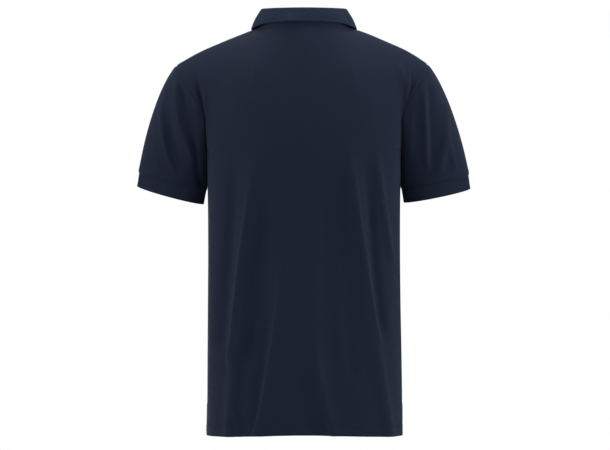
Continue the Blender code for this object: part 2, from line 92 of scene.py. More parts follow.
CUFF_HALF_DEPTH = 0.045
CUFF_BACK_SLOPE = 0.10      # the sleeve points forwards, so its back edge is lower
CUFF_FORWARD = 0.006        # its open end lies this far forwards
CUFF_INSET = 0.0012         # the rib draws the sleeve end in by this much

PLACKET_WIDTH = 0.034
PLACKET_LENGTH = 0.150
PLACKET_LAP = 0.001         # the over layer reaches this far past the cut-out
PLACKET_LIFT = 0.0026       # from the front's outer face to the over layer's
PLACKET_EDGE_LIFT = 0.0019  # the same at the over layer's turned edges
PLACKET_TOP_DROP = 0.002    # the over layer starts this far below the neck seam
BUTTON_DIAMETER = 0.0115
BUTTON_THICKNESS = 0.0024
BUTTON_SIDES = 48
BUTTON_HOLE_RADIUS = 0.00075
BUTTON_HOLE_SIDES = 20
BUTTON_HOLE_PLACE = 0.0013  # from the button's middle, both ways
BUTTON_CREASE = math.radians(35)  # edges sharper than this stay crisp
# From the neck seam at centre front down to each button's middle.
BUTTON_DROPS = {"button_top": 0.017, "button_middle": 0.069, "button_bottom": 0.121}

# A button's outline from the top's middle to the underside's: distance from the axis and
# height, as shares of the radius and of half the thickness.
BUTTON_PROFILE = (
    (0.0, 0.45), (0.55, 0.45), (0.66, 0.62), (0.76, 0.95), (0.86, 1.0), (0.95, 0.85),
    (1.0, 0.45), (1.0, -0.4), (0.93, -0.85), (0.80, -1.0), (0.0, -1.0),
)

# Level sections of the body: height, half width on each side, depth behind and before.
BODY_SECTIONS = (
    ("z", "left", "right", "back", "front"),
    (-0.730, 0.1745, 0.1768, 0.121, 0.126),
    (-0.640, 0.1738, 0.1763, 0.119, 0.126),
    (-0.570, 0.1735, 0.1752, 0.116, 0.125),
    (-0.490, 0.1730, 0.1737, 0.114, 0.124),
    (-0.400, 0.1724, 0.1728, 0.115, 0.125),
    (-0.320, 0.1728, 0.1729, 0.119, 0.128),
    (-0.215, 0.1743, 0.1743, 0.124, 0.130),
)

# Line of the shoulder seam seen from behind: distance from the centre line, then its
# height on each side.
SHOULDER_LINE = (
    ("x", "left", "right"),
    (0.0820, 0.0050, 0.0050),
    (0.1020, -0.0026, -0.0008),
    (0.1460, -0.0204, -0.0188),
    (0.1890, -0.0393, -0.0385),
    (0.2295, -0.0621, -0.0645),
)

# Shoulder point of each sleeve, then its open end and its cuff seam: the outer and inner
# ends of each, as distance from the centre line and height, seen from behind.
SLEEVES = {
    "left": {
        "side": -1, "tip_x": 0.2295,
        "open": ((0.3006, -0.2800), (0.1805, -0.3123)),
        "seam": ((0.2978, -0.2545), (0.1762, -0.2862)),
    },
    "right": {
        "side": 1, "tip_x": 0.2223,
        "open": ((0.2997, -0.2844), (0.1796, -0.3092)),
        "seam": ((0.2972, -0.2585), (0.1762, -0.2835)),
    },
}

# Free edge of the collar from centre back (0) to its point (1), on one side, with the
# height of the stand and the fall's swell. The first row mirrors the third, so that the
# edge runs smoothly through the centre line.
COLLAR_EDGE = (
    ("along", "x", "y", "z", "stand", "belly"),
    (-0.125, -0.0330, -0.0748, 0.0114, 0.0300, 0.0010),
    (0.00, 0.0000, -0.0812, 0.0117, 0.0295, 0.0010),
    (0.125, 0.0330, -0.0748, 0.0114, 0.0300, 0.0010),
    (0.25, 0.0612, -0.0575, 0.0105, 0.0315, 0.0010),
    (0.50, 0.0935, -0.0080, 0.0036, 0.0340, 0.0015),
    (0.65, 0.0950, 0.0280, 0.0010, 0.0300, 0.0040),
    (0.78, 0.0940, 0.0680, -0.0170, 0.0230, 0.0060),
    (0.89, 0.0785, 0.1040, -0.0640, 0.0150, 0.0040),
    (1.00, 0.0500, 0.1190, -0.1180, 0.0090, 0.0015),
)
COLLAR_FOLD_RADIUS = 0.0027
COLLAR_END_X = 0.0015
COLLAR_LEAN = 0.22          # inward lean of the stand for each unit of height
COLLAR_FRONT_LEAN = 0.14
COLLAR_LIFT = 0.0042        # behind, a little left of the middle, its edge stands off
COLLAR_LIFT_X = -0.022
COLLAR_LIFT_WIDTH = 0.016
COLLAR_LIFT_REACH = 0.018   # from the free edge towards the fold

# ---------------- folds and creases
# Soft ridges (+) and troughs (-): three points on the line of each, seen from behind,
# then its half width and its height. These large ones are the solids' own.
BACK_FOLDS = (
    (-0.084, -0.205, -0.1055, -0.395, -0.134, -0.74, 0.014, 0.0075),
    (-0.066, -0.3, -0.072, -0.44, -0.092, -0.64, 0.018, -0.005),
    (-0.036, -0.37, -0.047, -0.539, -0.08, -0.74, 0.012, 0.005),
    (0.082, -0.215, 0.11, -0.46, 0.156, -0.74, 0.014, 0.008),
    (0.044, -0.28, 0.043, -0.44, 0.058, -0.65, 0.02, -0.006),
    (0.124, -0.2, 0.1405, -0.323, 0.162, -0.45, 0.01, 0.004),
    (0.02, -0.52, 0.034, -0.64, 0.064, -0.74, 0.011, 0.004),
)
FRONT_FOLDS = (
    (-0.098, -0.19, -0.112, -0.4, -0.135, -0.74, 0.017, 0.007),
    (-0.06, -0.28, -0.066, -0.47, -0.078, -0.66, 0.02, -0.005),
    (-0.02, -0.42, -0.028, -0.58, -0.052, -0.74, 0.014, 0.004),
    (0.09, -0.21, 0.112, -0.42, 0.15, -0.74, 0.016, 0.007),
    (0.054, -0.3, 0.058, -0.48, 0.066, -0.64, 0.02, -0.005),
    (0.024, -0.47, 0.036, -0.62, 0.06, -0.74, 0.013, 0.004),
)
SLEEVE_FOLDS = {
    "left": (
        (-0.229, -0.075, -0.231, -0.143, -0.195, -0.245, 0.011, 0.005),
        (-0.258, -0.12, -0.255, -0.19, -0.235, -0.265, 0.011, 0.004),
    ),
    "right": (
        (0.216, -0.08, 0.219, -0.161, 0.227, -0.262, 0.011, 0.0045),
        (0.257, -0.12, 0.259, -0.19, 0.25, -0.265, 0.011, 0.0035),
    ),
}
FOLD_FADE = 0.060           # a fold grows to its full height over this length

# Finer creases, the same way, but they stand out from the cloth in its own direction.
CREASE_FADE = 0.035
CREASE_RISE = 0.45          # a body crease grows over this share of its length
BACK_CREASES = (
    (-0.08, -0.195, -0.1105, -0.395, -0.134, -0.61, 0.0048, 0.0046),
    (-0.117, -0.5, -0.129, -0.64, -0.135, -0.739, 0.008, 0.0034),
    (-0.119, -0.19, -0.134, -0.395, -0.15, -0.58, 0.0125, -0.0078),
    (-0.067, -0.215, -0.079, -0.395, -0.094, -0.6, 0.014, -0.0036),
    (-0.036, -0.4, -0.0555, -0.56, -0.089, -0.739, 0.0048, 0.0038),
    (-0.06, -0.42, -0.072, -0.58, -0.092, -0.72, 0.009, -0.003),
    (-0.128, -0.655, -0.12, -0.69, -0.111, -0.728, 0.0045, 0.0022),
    (0.078, -0.175, 0.1052, -0.395, 0.136, -0.57, 0.0048, 0.0044),
    (0.12, -0.5, 0.139, -0.62, 0.156, -0.739, 0.0075, 0.0034),
    (0.112, -0.2, 0.123, -0.395, 0.143, -0.56, 0.008, -0.006),
    (0.06, -0.19, 0.07, -0.395, 0.086, -0.64, 0.016, -0.0044),
    (0.126, -0.18, 0.142, -0.323, 0.16, -0.43, 0.0055, 0.004),
    (0.018, -0.54, 0.031, -0.64, 0.058, -0.739, 0.005, 0.003),
    (0.0, -0.56, 0.01, -0.65, 0.03, -0.739, 0.011, -0.002),
    (-0.02, -0.25, -0.018, -0.42, -0.012, -0.64, 0.024, 0.002),
    (0.016, -0.2, 0.02, -0.38, 0.014, -0.56, 0.022, 0.0018),
    (-0.19, -0.066, -0.18, -0.1, -0.1765, -0.2, 0.004, 0.0044),
    (-0.1985, -0.08, -0.188, -0.108, -0.1845, -0.16, 0.005, -0.0054),
    (0.193, -0.044, 0.184, -0.1, 0.182, -0.15, 0.004, 0.0042),
    (0.2, -0.084, 0.1915, -0.112, 0.1885, -0.16, 0.005, -0.0046),
    (0.164, -0.05, 0.175, -0.08, 0.181, -0.118, 0.006, 0.003),
    (-0.15, -0.05, -0.15, -0.11, -0.14, -0.19, 0.02, -0.0026),
    (0.146, -0.06, 0.15, -0.12, 0.142, -0.19, 0.02, -0.0024),
)
FRONT_CREASES = (
    (-0.1, -0.205, -0.113, -0.38, -0.126, -0.54, 0.0065, 0.002),
    (-0.126, -0.5, -0.132, -0.62, -0.136, -0.728, 0.009, 0.0016),
    (-0.078, -0.25, -0.086, -0.4, -0.098, -0.58, 0.0085, -0.0016),
    (-0.024, -0.45, -0.034, -0.6, -0.05, -0.728, 0.0065, 0.0014),
    (0.092, -0.22, 0.112, -0.4, 0.13, -0.56, 0.006, 0.002),
    (0.132, -0.5, 0.141, -0.62, 0.148, -0.728, 0.0085, 0.0016),
    (0.072, -0.25, 0.082, -0.42, 0.098, -0.6, 0.0085, -0.0016),
    (0.028, -0.5, 0.04, -0.62, 0.058, -0.728, 0.006, 0.0014),
    (-0.19, -0.066, -0.181, -0.1, -0.1775, -0.18, 0.0045, 0.0028),
    (-0.199, -0.08, -0.189, -0.108, -0.185, -0.15, 0.005, -0.0028),
    (0.193, -0.058, 0.183, -0.1, 0.178, -0.18, 0.0045, 0.0028),
    (0.2, -0.078, 0.192, -0.108, 0.188, -0.15, 0.005, -0.0028),
    (-0.146, -0.06, -0.15, -0.12, -0.136, -0.2, 0.02, -0.0022),
    (0.146, -0.06, 0.15, -0.12, 0.138, -0.2, 0.02, -0.0022),
)
SLEEVE_CREASES = {
    "left": (
        (-0.2255, -0.07, -0.226, -0.138, -0.1885, -0.252, 0.0046, 0.0038),
        (-0.217, -0.088, -0.214, -0.15, -0.18, -0.235, 0.007, -0.0042),
        (-0.24, -0.095, -0.24, -0.165, -0.214, -0.255, 0.0075, -0.003),
        (-0.254, -0.12, -0.248, -0.205, -0.227, -0.264, 0.0044, 0.0032),
        (-0.244, -0.17, -0.24, -0.215, -0.22, -0.264, 0.006, -0.0022),
        (-0.268, -0.195, -0.262, -0.235, -0.252, -0.268, 0.0055, 0.002),
        (-0.276, -0.12, -0.284, -0.185, -0.285, -0.262, 0.01, 0.0016),
        (-0.22, -0.08, -0.213, -0.11, -0.204, -0.145, 0.004, 0.0022),
        (-0.208, -0.1, -0.196, -0.13, -0.188, -0.18, 0.0048, 0.0026),
        (-0.2, -0.185, -0.192, -0.235, -0.18, -0.3, 0.0055, -0.0064),
        (-0.22, -0.262, -0.214, -0.272, -0.208, -0.28, 0.004, 0.001),
    ),
    "right": (
        (0.213, -0.076, 0.215, -0.15, 0.221, -0.264, 0.0046, 0.0026),
        (0.225, -0.088, 0.227, -0.16, 0.231, -0.258, 0.0065, -0.0046),
        (0.254, -0.11, 0.252, -0.19, 0.24, -0.268, 0.0075, 0.004),
        (0.256, -0.18, 0.265, -0.225, 0.274, -0.264, 0.0044, 0.0026),
        (0.252, -0.215, 0.256, -0.24, 0.258, -0.266, 0.006, -0.0024),
        (0.274, -0.12, 0.28, -0.185, 0.286, -0.25, 0.009, 0.0016),
        (0.196, -0.13, 0.192, -0.17, 0.19, -0.24, 0.0055, 0.0022),
        (0.244, -0.256, 0.252, -0.264, 0.262, -0.272, 0.004, 0.001),
    ),
}

# ---------------- making of the cloth
SEAM_GROOVE = 0.0009        # depth of the valley along a seam
SEAM_GROOVE_WIDTH = 0.0018
ARMHOLE_GROOVE = 0.0015     # the armhole seam is drawn in deeper
CUFF_SEAM_GROOVE = 0.00008
SEAM_FADE = 0.012           # creases reach their height this far from a seam
SEWN_IN = 0.0003            # the collar and the sleeves' ends run this far into their seams
UNDER_FULLNESS = 0.0022     # the sleeve's underside hangs this much nearer to the body
UNDER_SAG = 0.0012          # and this much more half way down
HEM_TURN = 0.021            # width of the hem's turned-up edge
VENT_TURN = 0.010           # and of the vents'
TURN_RAISE = 0.0006         # doubled cloth stands this much proud
TURN_SOFTNESS = 0.001       # its step is twice this wide
PUCKER = 0.0005             # height of the hem's puckers
PUCKER_WAVES = (0.0115, 0.0273)
PUCKER_REACH = 0.014
GATHER = 0.0006             # height of the gathers above the cuff
GATHER_WAVES = (0.0085, 0.023)
GATHER_PLACE = 0.004        # they are fullest this far from the cuff's seam
GATHER_REACH = 0.010
RELAX_WIDTH = 0.030         # the cloth is smoothed this far beside each neck point
RELAX_DEPTH = 0.130         # and this far below it,
RELAX_START = 0.016         # from this far below the seam
RELAX_END = 0.060           # and less and less over the last stretch
RELAX_ROUNDS = 260
RELAX_STRENGTH = 0.9

STITCH_LENGTH = 0.0024
STITCH_PITCH = 0.0031
STITCH_RADIUS = 0.00028
STITCH_SINK = 0.00045       # the cloth is drawn in this far under a line of stitches
STITCH_SINK_WIDTH = 0.0016
SEAM_STITCH = 0.0022        # topstitching runs this far from a seam
ROW_SPACING = 0.0045        # between the two rows of the hem's stitching
SHOULDER_STITCH_START = 0.012  # from the neck to the shoulder's topstitching
THREAD_SIDES = 6
# Rings of a stitch: place along it, lift off the cloth and thickness, the last two as
# shares of the thread's radius.
STITCH_RINGS = ((-0.5, -0.5, 0.5), (-0.3, 0.5, 1.0), (0.3, 0.5, 1.0), (0.5, -0.5, 0.5))
PLACKET_STITCH = 0.003      # from the over layer's edge to its stitching
PLACKET_SINK = 0.0003       # and how far it draws the cloth in
PLACKET_SINK_WIDTH = 0.0009
PLACKET_EDGE_WIDTH = 0.0025
PLACKET_CROSS_ROWS = (0.003, 0.012)  # rows across it, from its foot
BUTTON_STITCH = (0.0036, 0.00034)    # length and radius of the thread over two holes
BUTTON_STITCH_LIFT = 0.26   # above the middle plane, as a share of the thickness
BUTTONHOLE_HALF_LENGTH = 0.0072
BUTTONHOLE_HALF_WIDTH = 0.00112
BUTTONHOLE_PITCH = 0.00055
BUTTONHOLE_STITCH = (0.0015, 0.00022)

RIB_PITCH = 0.0022          # in the material; the mesh's own ribs are counted below
RIB_HEIGHT = 0.00028
RIB_START = 0.002           # the ribs reach their height this far from the seam
CAST_OFF = 0.0035           # the collar's and the cuffs' plain edge
CAST_OFF_RAISE = 0.0003

# Grids: steps across half a panel (neck part, shoulder part), then rows.
NECK_STEPS = 42
SHOULDER_STEPS = 54
SHOULDER_CROWDING = 0.12    # draws the columns beside the armhole together
CENTRE_STEPS = 12
BODY_ROWS = 150
YOKE_ROWS = 78
YOKE_CROWDING = 1.35
PLACKET_STEPS = 28
PLACKET_ROWS = 90
SLEEVE_STEPS = 208
SLEEVE_ROWS = 116
SLEEVE_CROWDING = 0.35
CUFF_ROWS = 14
CUFF_RIBS = 152
COLLAR_RIBS = 216
POINTS_PER_RIB = 4
STAND_STEPS = 9
FOLD_STEPS = 10
FALL_STEPS = 17

# ---------------- looks and studio
NAVY = (0.0089, 0.0157, 0.0358)
NAVY_DARK = (0.0070, 0.0123, 0.0284)
# Navy of the collar's rib: the cloth's own navy, painted lighter than the same rib on the cuffs as
# a painted highlight where the top light falls.
RIB_NAVY_PAINTED_TOP_LIGHT = (0.0142, 0.0246, 0.0540)
RIB_NAVY_DARK_PAINTED_TOP_LIGHT = (0.0110, 0.0191, 0.0422)
RESIN = (0.024, 0.034, 0.056)
RESIN_DARK = (0.010, 0.015, 0.027)
FLOOR = (0.84, 0.84, 0.85)
FLOOR_DARK = (0.80, 0.80, 0.81)
SHEEN_TINT = (0.55, 0.68, 1.0, 1.0)

# Pique has small raised cells, offset in every other row, and a rib has fine loops. Noises
# are a scale and a detail, bumps a height in metres and a strength. The colour's shares are
# those of the cells, the clouds and the fibres.
FIBRE_BUMP = (0.00008, 0.5)
PIQUE_LOOK = {
    "cell": (0.0016, 0.0013), "cell_bump": (0.00016, 0.8), "fibres": (2600.0, 2.0),
    "clouds": (9.0, 3.0), "ripple": (38.0, 3.0), "ripple_bump": (0.0012, 0.35),
    "colour": (0.45, 0.35, 0.20), "roughness": (0.74, 0.92), "sheen": 0.10,
}
RIB_LOOK = {
    "cell": (RIB_PITCH, 0.0012), "cell_bump": (0.00012, 0.7), "fibres": (2400.0, 2.0),
    "clouds": (24.0, 3.0), "ripple": (60.0, 2.0), "ripple_bump": (0.0008, 0.35),
    "colour": (0.0, 0.6, 0.4), "roughness": (0.72, 0.90), "sheen": 0.12,
}

CAMERA_DISTANCE = 5.5
CAMERA_SENSOR = 36.0
CAMERA_REACH = 60.0
VIEW_WIDTH = 1.098          # of the object's middle plane, across the picture
VIEW_CENTRE = (0.0018, -0.3501)
FLOOR_Z = -1.40
FLOOR_HALF = 2.5
WORLD_LIGHT = 0.06          # the background itself is seen as plain white
WORLD_TINT = (0.92, 0.95, 1.0, 1.0)
LIGHT_AIM = (0.0, 0.0, -0.35)
# Name, place, width and height, power in watts.
LIGHTS = (
    ("right", (3.0, -0.5, 0.6), (1.2, 1.6), 38.0),
    ("left", (-3.0, -0.5, 0.6), (1.2, 1.6), 30.0),
    ("right_front", (2.0, -2.4, 0.6), (1.2, 1.6), 7.0),
    ("left_front", (-2.0, -2.4, 0.6), (1.2, 1.6), 10.0),
    ("near_right", (1.1, -0.9, 0.2), (0.5, 1.0), 5.6),
    ("near_left", (-1.1, -0.9, 0.2), (0.5, 1.0), 5.2),
    ("front", (0.0, -3.2, 0.2), (1.2, 1.2), 7.0),
    ("top", (0.0, 0.2, 2.6), (1.6, 1.6), 47.0),
    ("chest", (-0.6, 3.2, -0.3), (1.6, 1.6), 46.0),
)

QUARTER = math.pi / 2
NECK_ANGLE = 0.48 * QUARTER  # columns inside this angle end at the neck
BACK = -1
FRONT = 1


# ---------------- small helpers
def ease(value):
    """Smooth step from 0 to 1."""
    value = np.clip(value, 0.0, 1.0)
    return value * value * (3.0 - 2.0 * value)


def mix(start, end, share):
    return start + (end - start) * share


def vectors(x, y, z):
    return np.stack(np.broadcast_arrays(x, y, z), axis=-1).astype(float)


def unit(vector):
    return vector / np.maximum(np.linalg.norm(vector, axis=-1, keepdims=True), 1e-12)


def bell(distance, width):
    return np.exp(-((distance / width) ** 2))


def hermite(start, end, start_pull, end_pull, share):
    """Point on the cubic from start to end with the given tangents."""
    square, cube = share ** 2, share ** 3
    return (
        start * (2 * cube - 3 * square + 1)
        + start_pull * (cube - 2 * square + share)
        + end * (3 * square - 2 * cube)
        + end_pull * (cube - square)
    )


def smooth_table(table, name, value):
    """Named column on a smooth curve through the rows, by the table's first column."""
    names, *rows = table
    keys = np.array([row[0] for row in rows])
    values = np.array([row[names.index(name)] for row in rows])
    slopes = np.gradient(values, keys)
    value = np.clip(value, keys[0], keys[-1])
    row = np.clip(np.searchsorted(keys, value, side="right") - 1, 0, len(keys) - 2)
    step = keys[row + 1] - keys[row]
    share = (value - keys[row]) / step
    pulls = slopes[row] * step, slopes[row + 1] * step
    return hermite(values[row], values[row + 1], pulls[0], pulls[1], share)


def sided(table, angle, value):
    """The left column where the angle is negative, and the right one elsewhere."""
    left, right = (smooth_table(table, name, value) for name in ("left", "right"))
    return np.where(angle < 0, left, right)


def fold_height(folds, fade, x, z, rise=0.0):
    """Sum of the folds at places seen from behind.

    A fold grows over the fade, or over the rise, a share of its length, if that is longer.
    """
    total = np.zeros(np.broadcast(x, z).shape)
    for x0, z0, x1, z1, x2, z2, half_width, height in folds:
        line_x = (
            x0 * (z - z1) * (z - z2) / ((z0 - z1) * (z0 - z2))
            + x1 * (z - z0) * (z - z2) / ((z1 - z0) * (z1 - z2))
            + x2 * (z - z0) * (z - z1) / ((z2 - z0) * (z2 - z1))
        )
        ends = ease((z0 - z) / max(fade, rise * (z0 - z2)))
        if z2 > HEM_SIDE_Z:
            ends = ends * ease((z - z2) / fade)
        line_x = np.where(ends > 0, line_x, 0.0)
        total += height * ends * bell(x - line_x, half_width)
    return total


def bisect(low, high, rounds, is_short):
    """Where is_short turns from true to false between low and high, for each element."""
    for _ in range(rounds):
        middle = (low + high) / 2
        short = is_short(middle)
        low, high = np.where(short, middle, low), np.where(short, high, middle)
    return low


def columns_at(distance, across):
    """Fractional column of each row at a distance across it."""
    columns = np.arange(across.shape[1])
    return np.array([np.interp(distance, line, columns) for line in across])


def rows_at(distance, along):
    """Fractional row of each column at a distance along it."""
    return columns_at(distance, along.T)


def numbers(grid):
    """The numbers of a grid's rows and of its columns."""
    return (np.arange(size, dtype=float) for size in grid.shape)


def valley(distance):
    """Share of its depth that a seam's valley has at a distance from the seam."""
    return bell(distance, SEAM_GROOVE_WIDTH)


def add_object(name, data):
    made = bpy.data.objects.new(name, data)
    bpy.context.scene.collection.objects.link(made)
    return made


def add_mesh(name, points, faces, material):
    mesh = bpy.data.meshes.new(name)
    mesh.from_pydata(points, [], faces)
    mesh.shade_smooth()
    mesh.materials.append(material)
    return mesh


def declare(piece, node=None):
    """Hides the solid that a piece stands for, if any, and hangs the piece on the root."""
    if node is not None:
        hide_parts(node)
    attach(piece, "root")
    return piece


# ---------------- the body's surface
def level_section(side, angle, z):
    """Point of the body's level section at a height, angle 0 at the centre line."""
    width = sided(BODY_SECTIONS, angle, z)
    depth = smooth_table(BODY_SECTIONS, "back" if side == BACK else "front", z)
    across = np.abs(np.sin(angle)) / width
    along = np.maximum(np.cos(angle), 0.0) / depth
    radius = (across ** SECTION_POWER + along ** SECTION_POWER) ** (-1 / SECTION_POWER)
    return radius * np.sin(angle), side * radius * np.maximum(np.cos(angle), 0.0)


def neck_ring(angle):
    """Point of the neck seam; angle 0 at centre back, pi at centre front."""
    forward = -np.cos(angle)
    front = np.maximum(forward, 0.0)
    back = np.minimum(forward, 0.0)
    x = NECK_HALF_WIDTH * np.sin(angle)
    y = NECK_FRONT_Y * front - NECK_BACK_Y * back
    z = mix(NECK_SIDE_Z, NECK_BACK_Z, back ** 2)
    z = z + (NECK_FRONT_Z - NECK_SIDE_Z) * front ** NECK_FRONT_POWER
    return vectors(x, y, z)


def top_edge(side, angle):
    """Where a column of the panel ends: on the shoulder seam or on the neck seam."""
    turn = np.clip(angle / NECK_ANGLE, -1, 1) * QUARTER
    neck = neck_ring(turn if side == BACK else math.pi - turn)
    share = np.clip((np.abs(angle) - NECK_ANGLE) / (QUARTER - NECK_ANGLE), 0, 1)
    tip = np.where(angle < 0, SLEEVES["left"]["tip_x"], SLEEVES["right"]["tip_x"])
    x = mix(NECK_HALF_WIDTH, tip, share)
    z = sided(SHOULDER_LINE, angle, x)
    y = mix(0.0, SHOULDER_SEAM_Y, ease(share * 4))
    shoulder = vectors(np.copysign(x, angle), y, z)
    return np.where((np.abs(angle) <= NECK_ANGLE)[..., None], neck, shoulder)


def armhole_bow(share):
    """How far the armhole has bowed out, 0 at its ends and 1 near its middle."""
    reach = np.where(share < ARMHOLE_WIDEST, ARMHOLE_WIDEST, 1.0 - ARMHOLE_WIDEST)
    away = np.clip(np.abs(share - ARMHOLE_WIDEST) / reach, 0, 1)
    return (1.0 - away ** ARMHOLE_POWER) ** (1 / ARMHOLE_POWER)


def drape_bow(z, top_z):
    """How far the cloth beside the armhole stands out, from below the underarm upwards."""
    share = np.clip((z - DRAPE_FOOT_Z) / (top_z - DRAPE_FOOT_Z), 0, 1)
    return np.sin(math.pi * share ** DRAPE_RISE)


def body_point(side, angle, level):
    """Outer surface of a panel: level 0 is the hem, 1 the underarm, 2 the top edge."""
    angle, level = np.broadcast_arrays(np.asarray(angle, float), np.asarray(level, float))
    outwards = np.abs(angle) / QUARTER
    top = top_edge(side, angle)
    share = np.clip(level - 1.0, 0, 1)
    hem = HEM_SIDE_Z + HEM_RISE * np.maximum(np.cos(angle), 0) ** 2
    low_z = mix(hem, UNDERARM_Z, np.clip(level, 0, 1))
    low_x, low_y = level_section(side, angle, low_z)
    opened = ease((HEM_SIDE_Z + VENT_HEIGHT - low_z) / VENT_HEIGHT)
    low_y = low_y + side * VENT_SPREAD * opened * outwards ** VENT_REACH

    high_x = mix(low_x, top[..., 0], ease((share - STRAIGHT_CHEST) / (1 - STRAIGHT_CHEST)))
    high_z = mix(UNDERARM_Z, top[..., 2], share)
    turned = ease((outwards - NECK_YOKE_END) / NECK_YOKE_BLEND)
    roundness = mix(NECK_YOKE_POWER, YOKE_POWER, turned)
    high_y = mix(top[..., 1], low_y, (1.0 - share ** YOKE_POWER) ** (1 / roundness))
    high_y = high_y + side * ARMHOLE_HALF_DEPTH * armhole_bow(share) * outwards ** ARMHOLE_REACH

    upper = level > 1.0
    x = np.where(upper, high_x, low_x)
    y = np.where(upper, high_y, low_y)
    z = np.where(upper, high_z, low_z)
    beside = outwards ** DRAPE_REACH - outwards ** ARMHOLE_REACH
    y = y + side * ARMHOLE_HALF_DEPTH * drape_bow(z, top[..., 2]) * beside
    folds = BACK_FOLDS if side == BACK else FRONT_FOLDS
    facing = np.maximum(np.cos(angle), 0.0) ** 0.5
    y = y + side * fold_height(folds, FOLD_FADE, x, z) * facing
    return vectors(x, y - side * SEAM_OVERLAP, z)


def yoke_levels():
    """Levels from underarm to top edge, closer together at both ends."""
    row = np.arange(YOKE_ROWS + 1)
    return 2.0 - (0.5 * (1.0 + np.cos(math.pi * row / YOKE_ROWS))) ** YOKE_CROWDING


def panel_levels():
    return np.concatenate([np.arange(BODY_ROWS) / BODY_ROWS, yoke_levels()])


# ---------------- cloth surfaces
class Cloth:
    """A cloth surface: a grid of points whose faces look outwards."""

    def __init__(self, points, ring=False):
        self.points = np.array(points, float)
        self.ring = ring

    def wrapped(self):
        """The grid with a closed ring's first column repeated at its end."""
        if not self.ring:
            return self.points
        return np.concatenate([self.points, self.points[:, :1]], axis=1)

    def normals(self):
        if self.ring:
            around = np.roll(self.points, -1, axis=1) - np.roll(self.points, 1, axis=1)
        else:
            around = np.gradient(self.points, axis=1)
        return unit(np.cross(around, np.gradient(self.points, axis=0)))

    def raise_by(self, height):
        self.points = self.points + self.normals() * height[..., None]

    def across(self):
        """Distance along each row, from its middle, or from its start on a ring."""
        steps = np.linalg.norm(np.diff(self.wrapped(), axis=1), axis=-1)
        run = np.concatenate([np.zeros((len(steps), 1)), np.cumsum(steps, axis=1)], axis=1)
        return run if self.ring else run - run[:, run.shape[1] // 2][:, None]

    def along(self):
        """Distance along each column, from its first row."""
        steps = np.linalg.norm(np.diff(self.wrapped(), axis=0), axis=-1)
        return np.concatenate([np.zeros((1, steps.shape[1])), np.cumsum(steps, axis=0)])

    def at(self, row, column):
        """Points and normals at fractional rows and columns."""
        rows, columns = self.points.shape[:2]
        row = np.clip(row, 0, rows - 1.001)
        limit = columns if self.ring else columns - 1.001
        column = column % columns if self.ring else np.clip(column, 0, limit)
        r, c = np.floor(row).astype(int), np.floor(column).astype(int)
        u, v = (column - c)[:, None], (row - r)[:, None]
        following = (c + 1) % columns
        found = []
        for field in (self.points, self.normals()):
            near = mix(field[r, c], field[r, following], u)
            far = mix(field[r + 1, c], field[r + 1, following], u)
            found.append(mix(near, far, v))
        return found[0], unit(found[1])

    def build(self, name, material, wall, node, slot, left_out=None):
        """The thin shell, thickened to the side away from its faces, in the solid's place."""
        rows, columns = self.points.shape[:2]
        steps = columns if self.ring else columns - 1
        row, step = np.meshgrid(np.arange(rows - 1), np.arange(steps), indexing="ij")
        if left_out is not None:
            row, step = row[~left_out], step[~left_out]
        row, step = row.ravel(), step.ravel()
        first, next_row = row * columns, (row + 1) * columns
        following = (step + 1) % columns
        corners = (first + step, first + following, next_row + following, next_row + step)
        used, faces = np.unique(np.stack(corners, axis=1), return_inverse=True)
        points = self.points.reshape(-1, 3)[used]
        mesh = add_mesh(name, points.tolist(), faces.reshape(-1, 4).tolist(), material)
        places = [(row, step), (row, step + 1), (row + 1, step + 1), (row + 1, step)]
        across, along = self.across(), self.along()
        flat = [np.stack([across[place], along[place]], axis=1) for place in places]
        layer = mesh.uv_layers.new(name="cloth")
        layer.uv.foreach_set("vector", np.stack(flat, axis=1).astype(np.float32).ravel())
        piece = add_object(name, mesh)
        thicken = piece.modifiers.new("wall", "SOLIDIFY")
        thicken.thickness = wall
        thicken.offset = -1.0
        return declare(piece, node)


# ---------------- stitching
class Thread:
    """Collects the stitches of one kind and builds them as one mesh."""

    def __init__(self):
        self.vertices = []
        self.faces = []

    def stitch(self, centre, direction, normal, length=STITCH_LENGTH, radius=STITCH_RADIUS):
        """A short rounded thread that rises from the cloth and dips back into it."""
        side = np.cross(normal, direction)
        first = len(self.vertices)
        for share, lift, size in STITCH_RINGS:
            middle = centre + direction * length * share + normal * radius * lift
            for step in range(THREAD_SIDES):
                turn = 2 * math.pi * step / THREAD_SIDES
                offset = side * math.cos(turn) + normal * math.sin(turn)
                self.vertices.append(middle + offset * radius * size)
        last = first + (len(STITCH_RINGS) - 1) * THREAD_SIDES
        for low in range(first, last, THREAD_SIDES):
            high = low + THREAD_SIDES
            for step in range(THREAD_SIDES):
                following = (step + 1) % THREAD_SIDES
                self.faces.append((low + step, low + following, high + following, high + step))
        self.faces.append(tuple(first + step for step in reversed(range(THREAD_SIDES))))
        self.faces.append(tuple(last + step for step in range(THREAD_SIDES)))

    def run(self, cloth, rows, columns):
        """A line of stitches through the given fractional rows and columns."""
        points, normals = cloth.at(rows, columns)
        steps = np.linalg.norm(np.diff(points, axis=0), axis=1)
        distance = np.concatenate([[0.0], np.cumsum(steps)])
        count = int(distance[-1] / STITCH_PITCH)
        for index in range(count):
            places = (index + 0.5) * STITCH_PITCH + np.array([-0.5, 0.0, 0.5]) * STITCH_LENGTH
            found = [np.interp(places, distance, points[:, axis]) for axis in range(3)]
            line = np.stack(found, axis=1)
            normal = [np.interp(places[1], distance, normals[:, axis]) for axis in range(3)]
            direction = unit(line[2] - line[0])
            self.stitch(line[1], direction, unit(np.array(normal)))

    def build(self, name, material, slot):
        points = [tuple(point) for point in self.vertices]
        return declare(add_object(name, add_mesh(name, points, self.faces, material)))


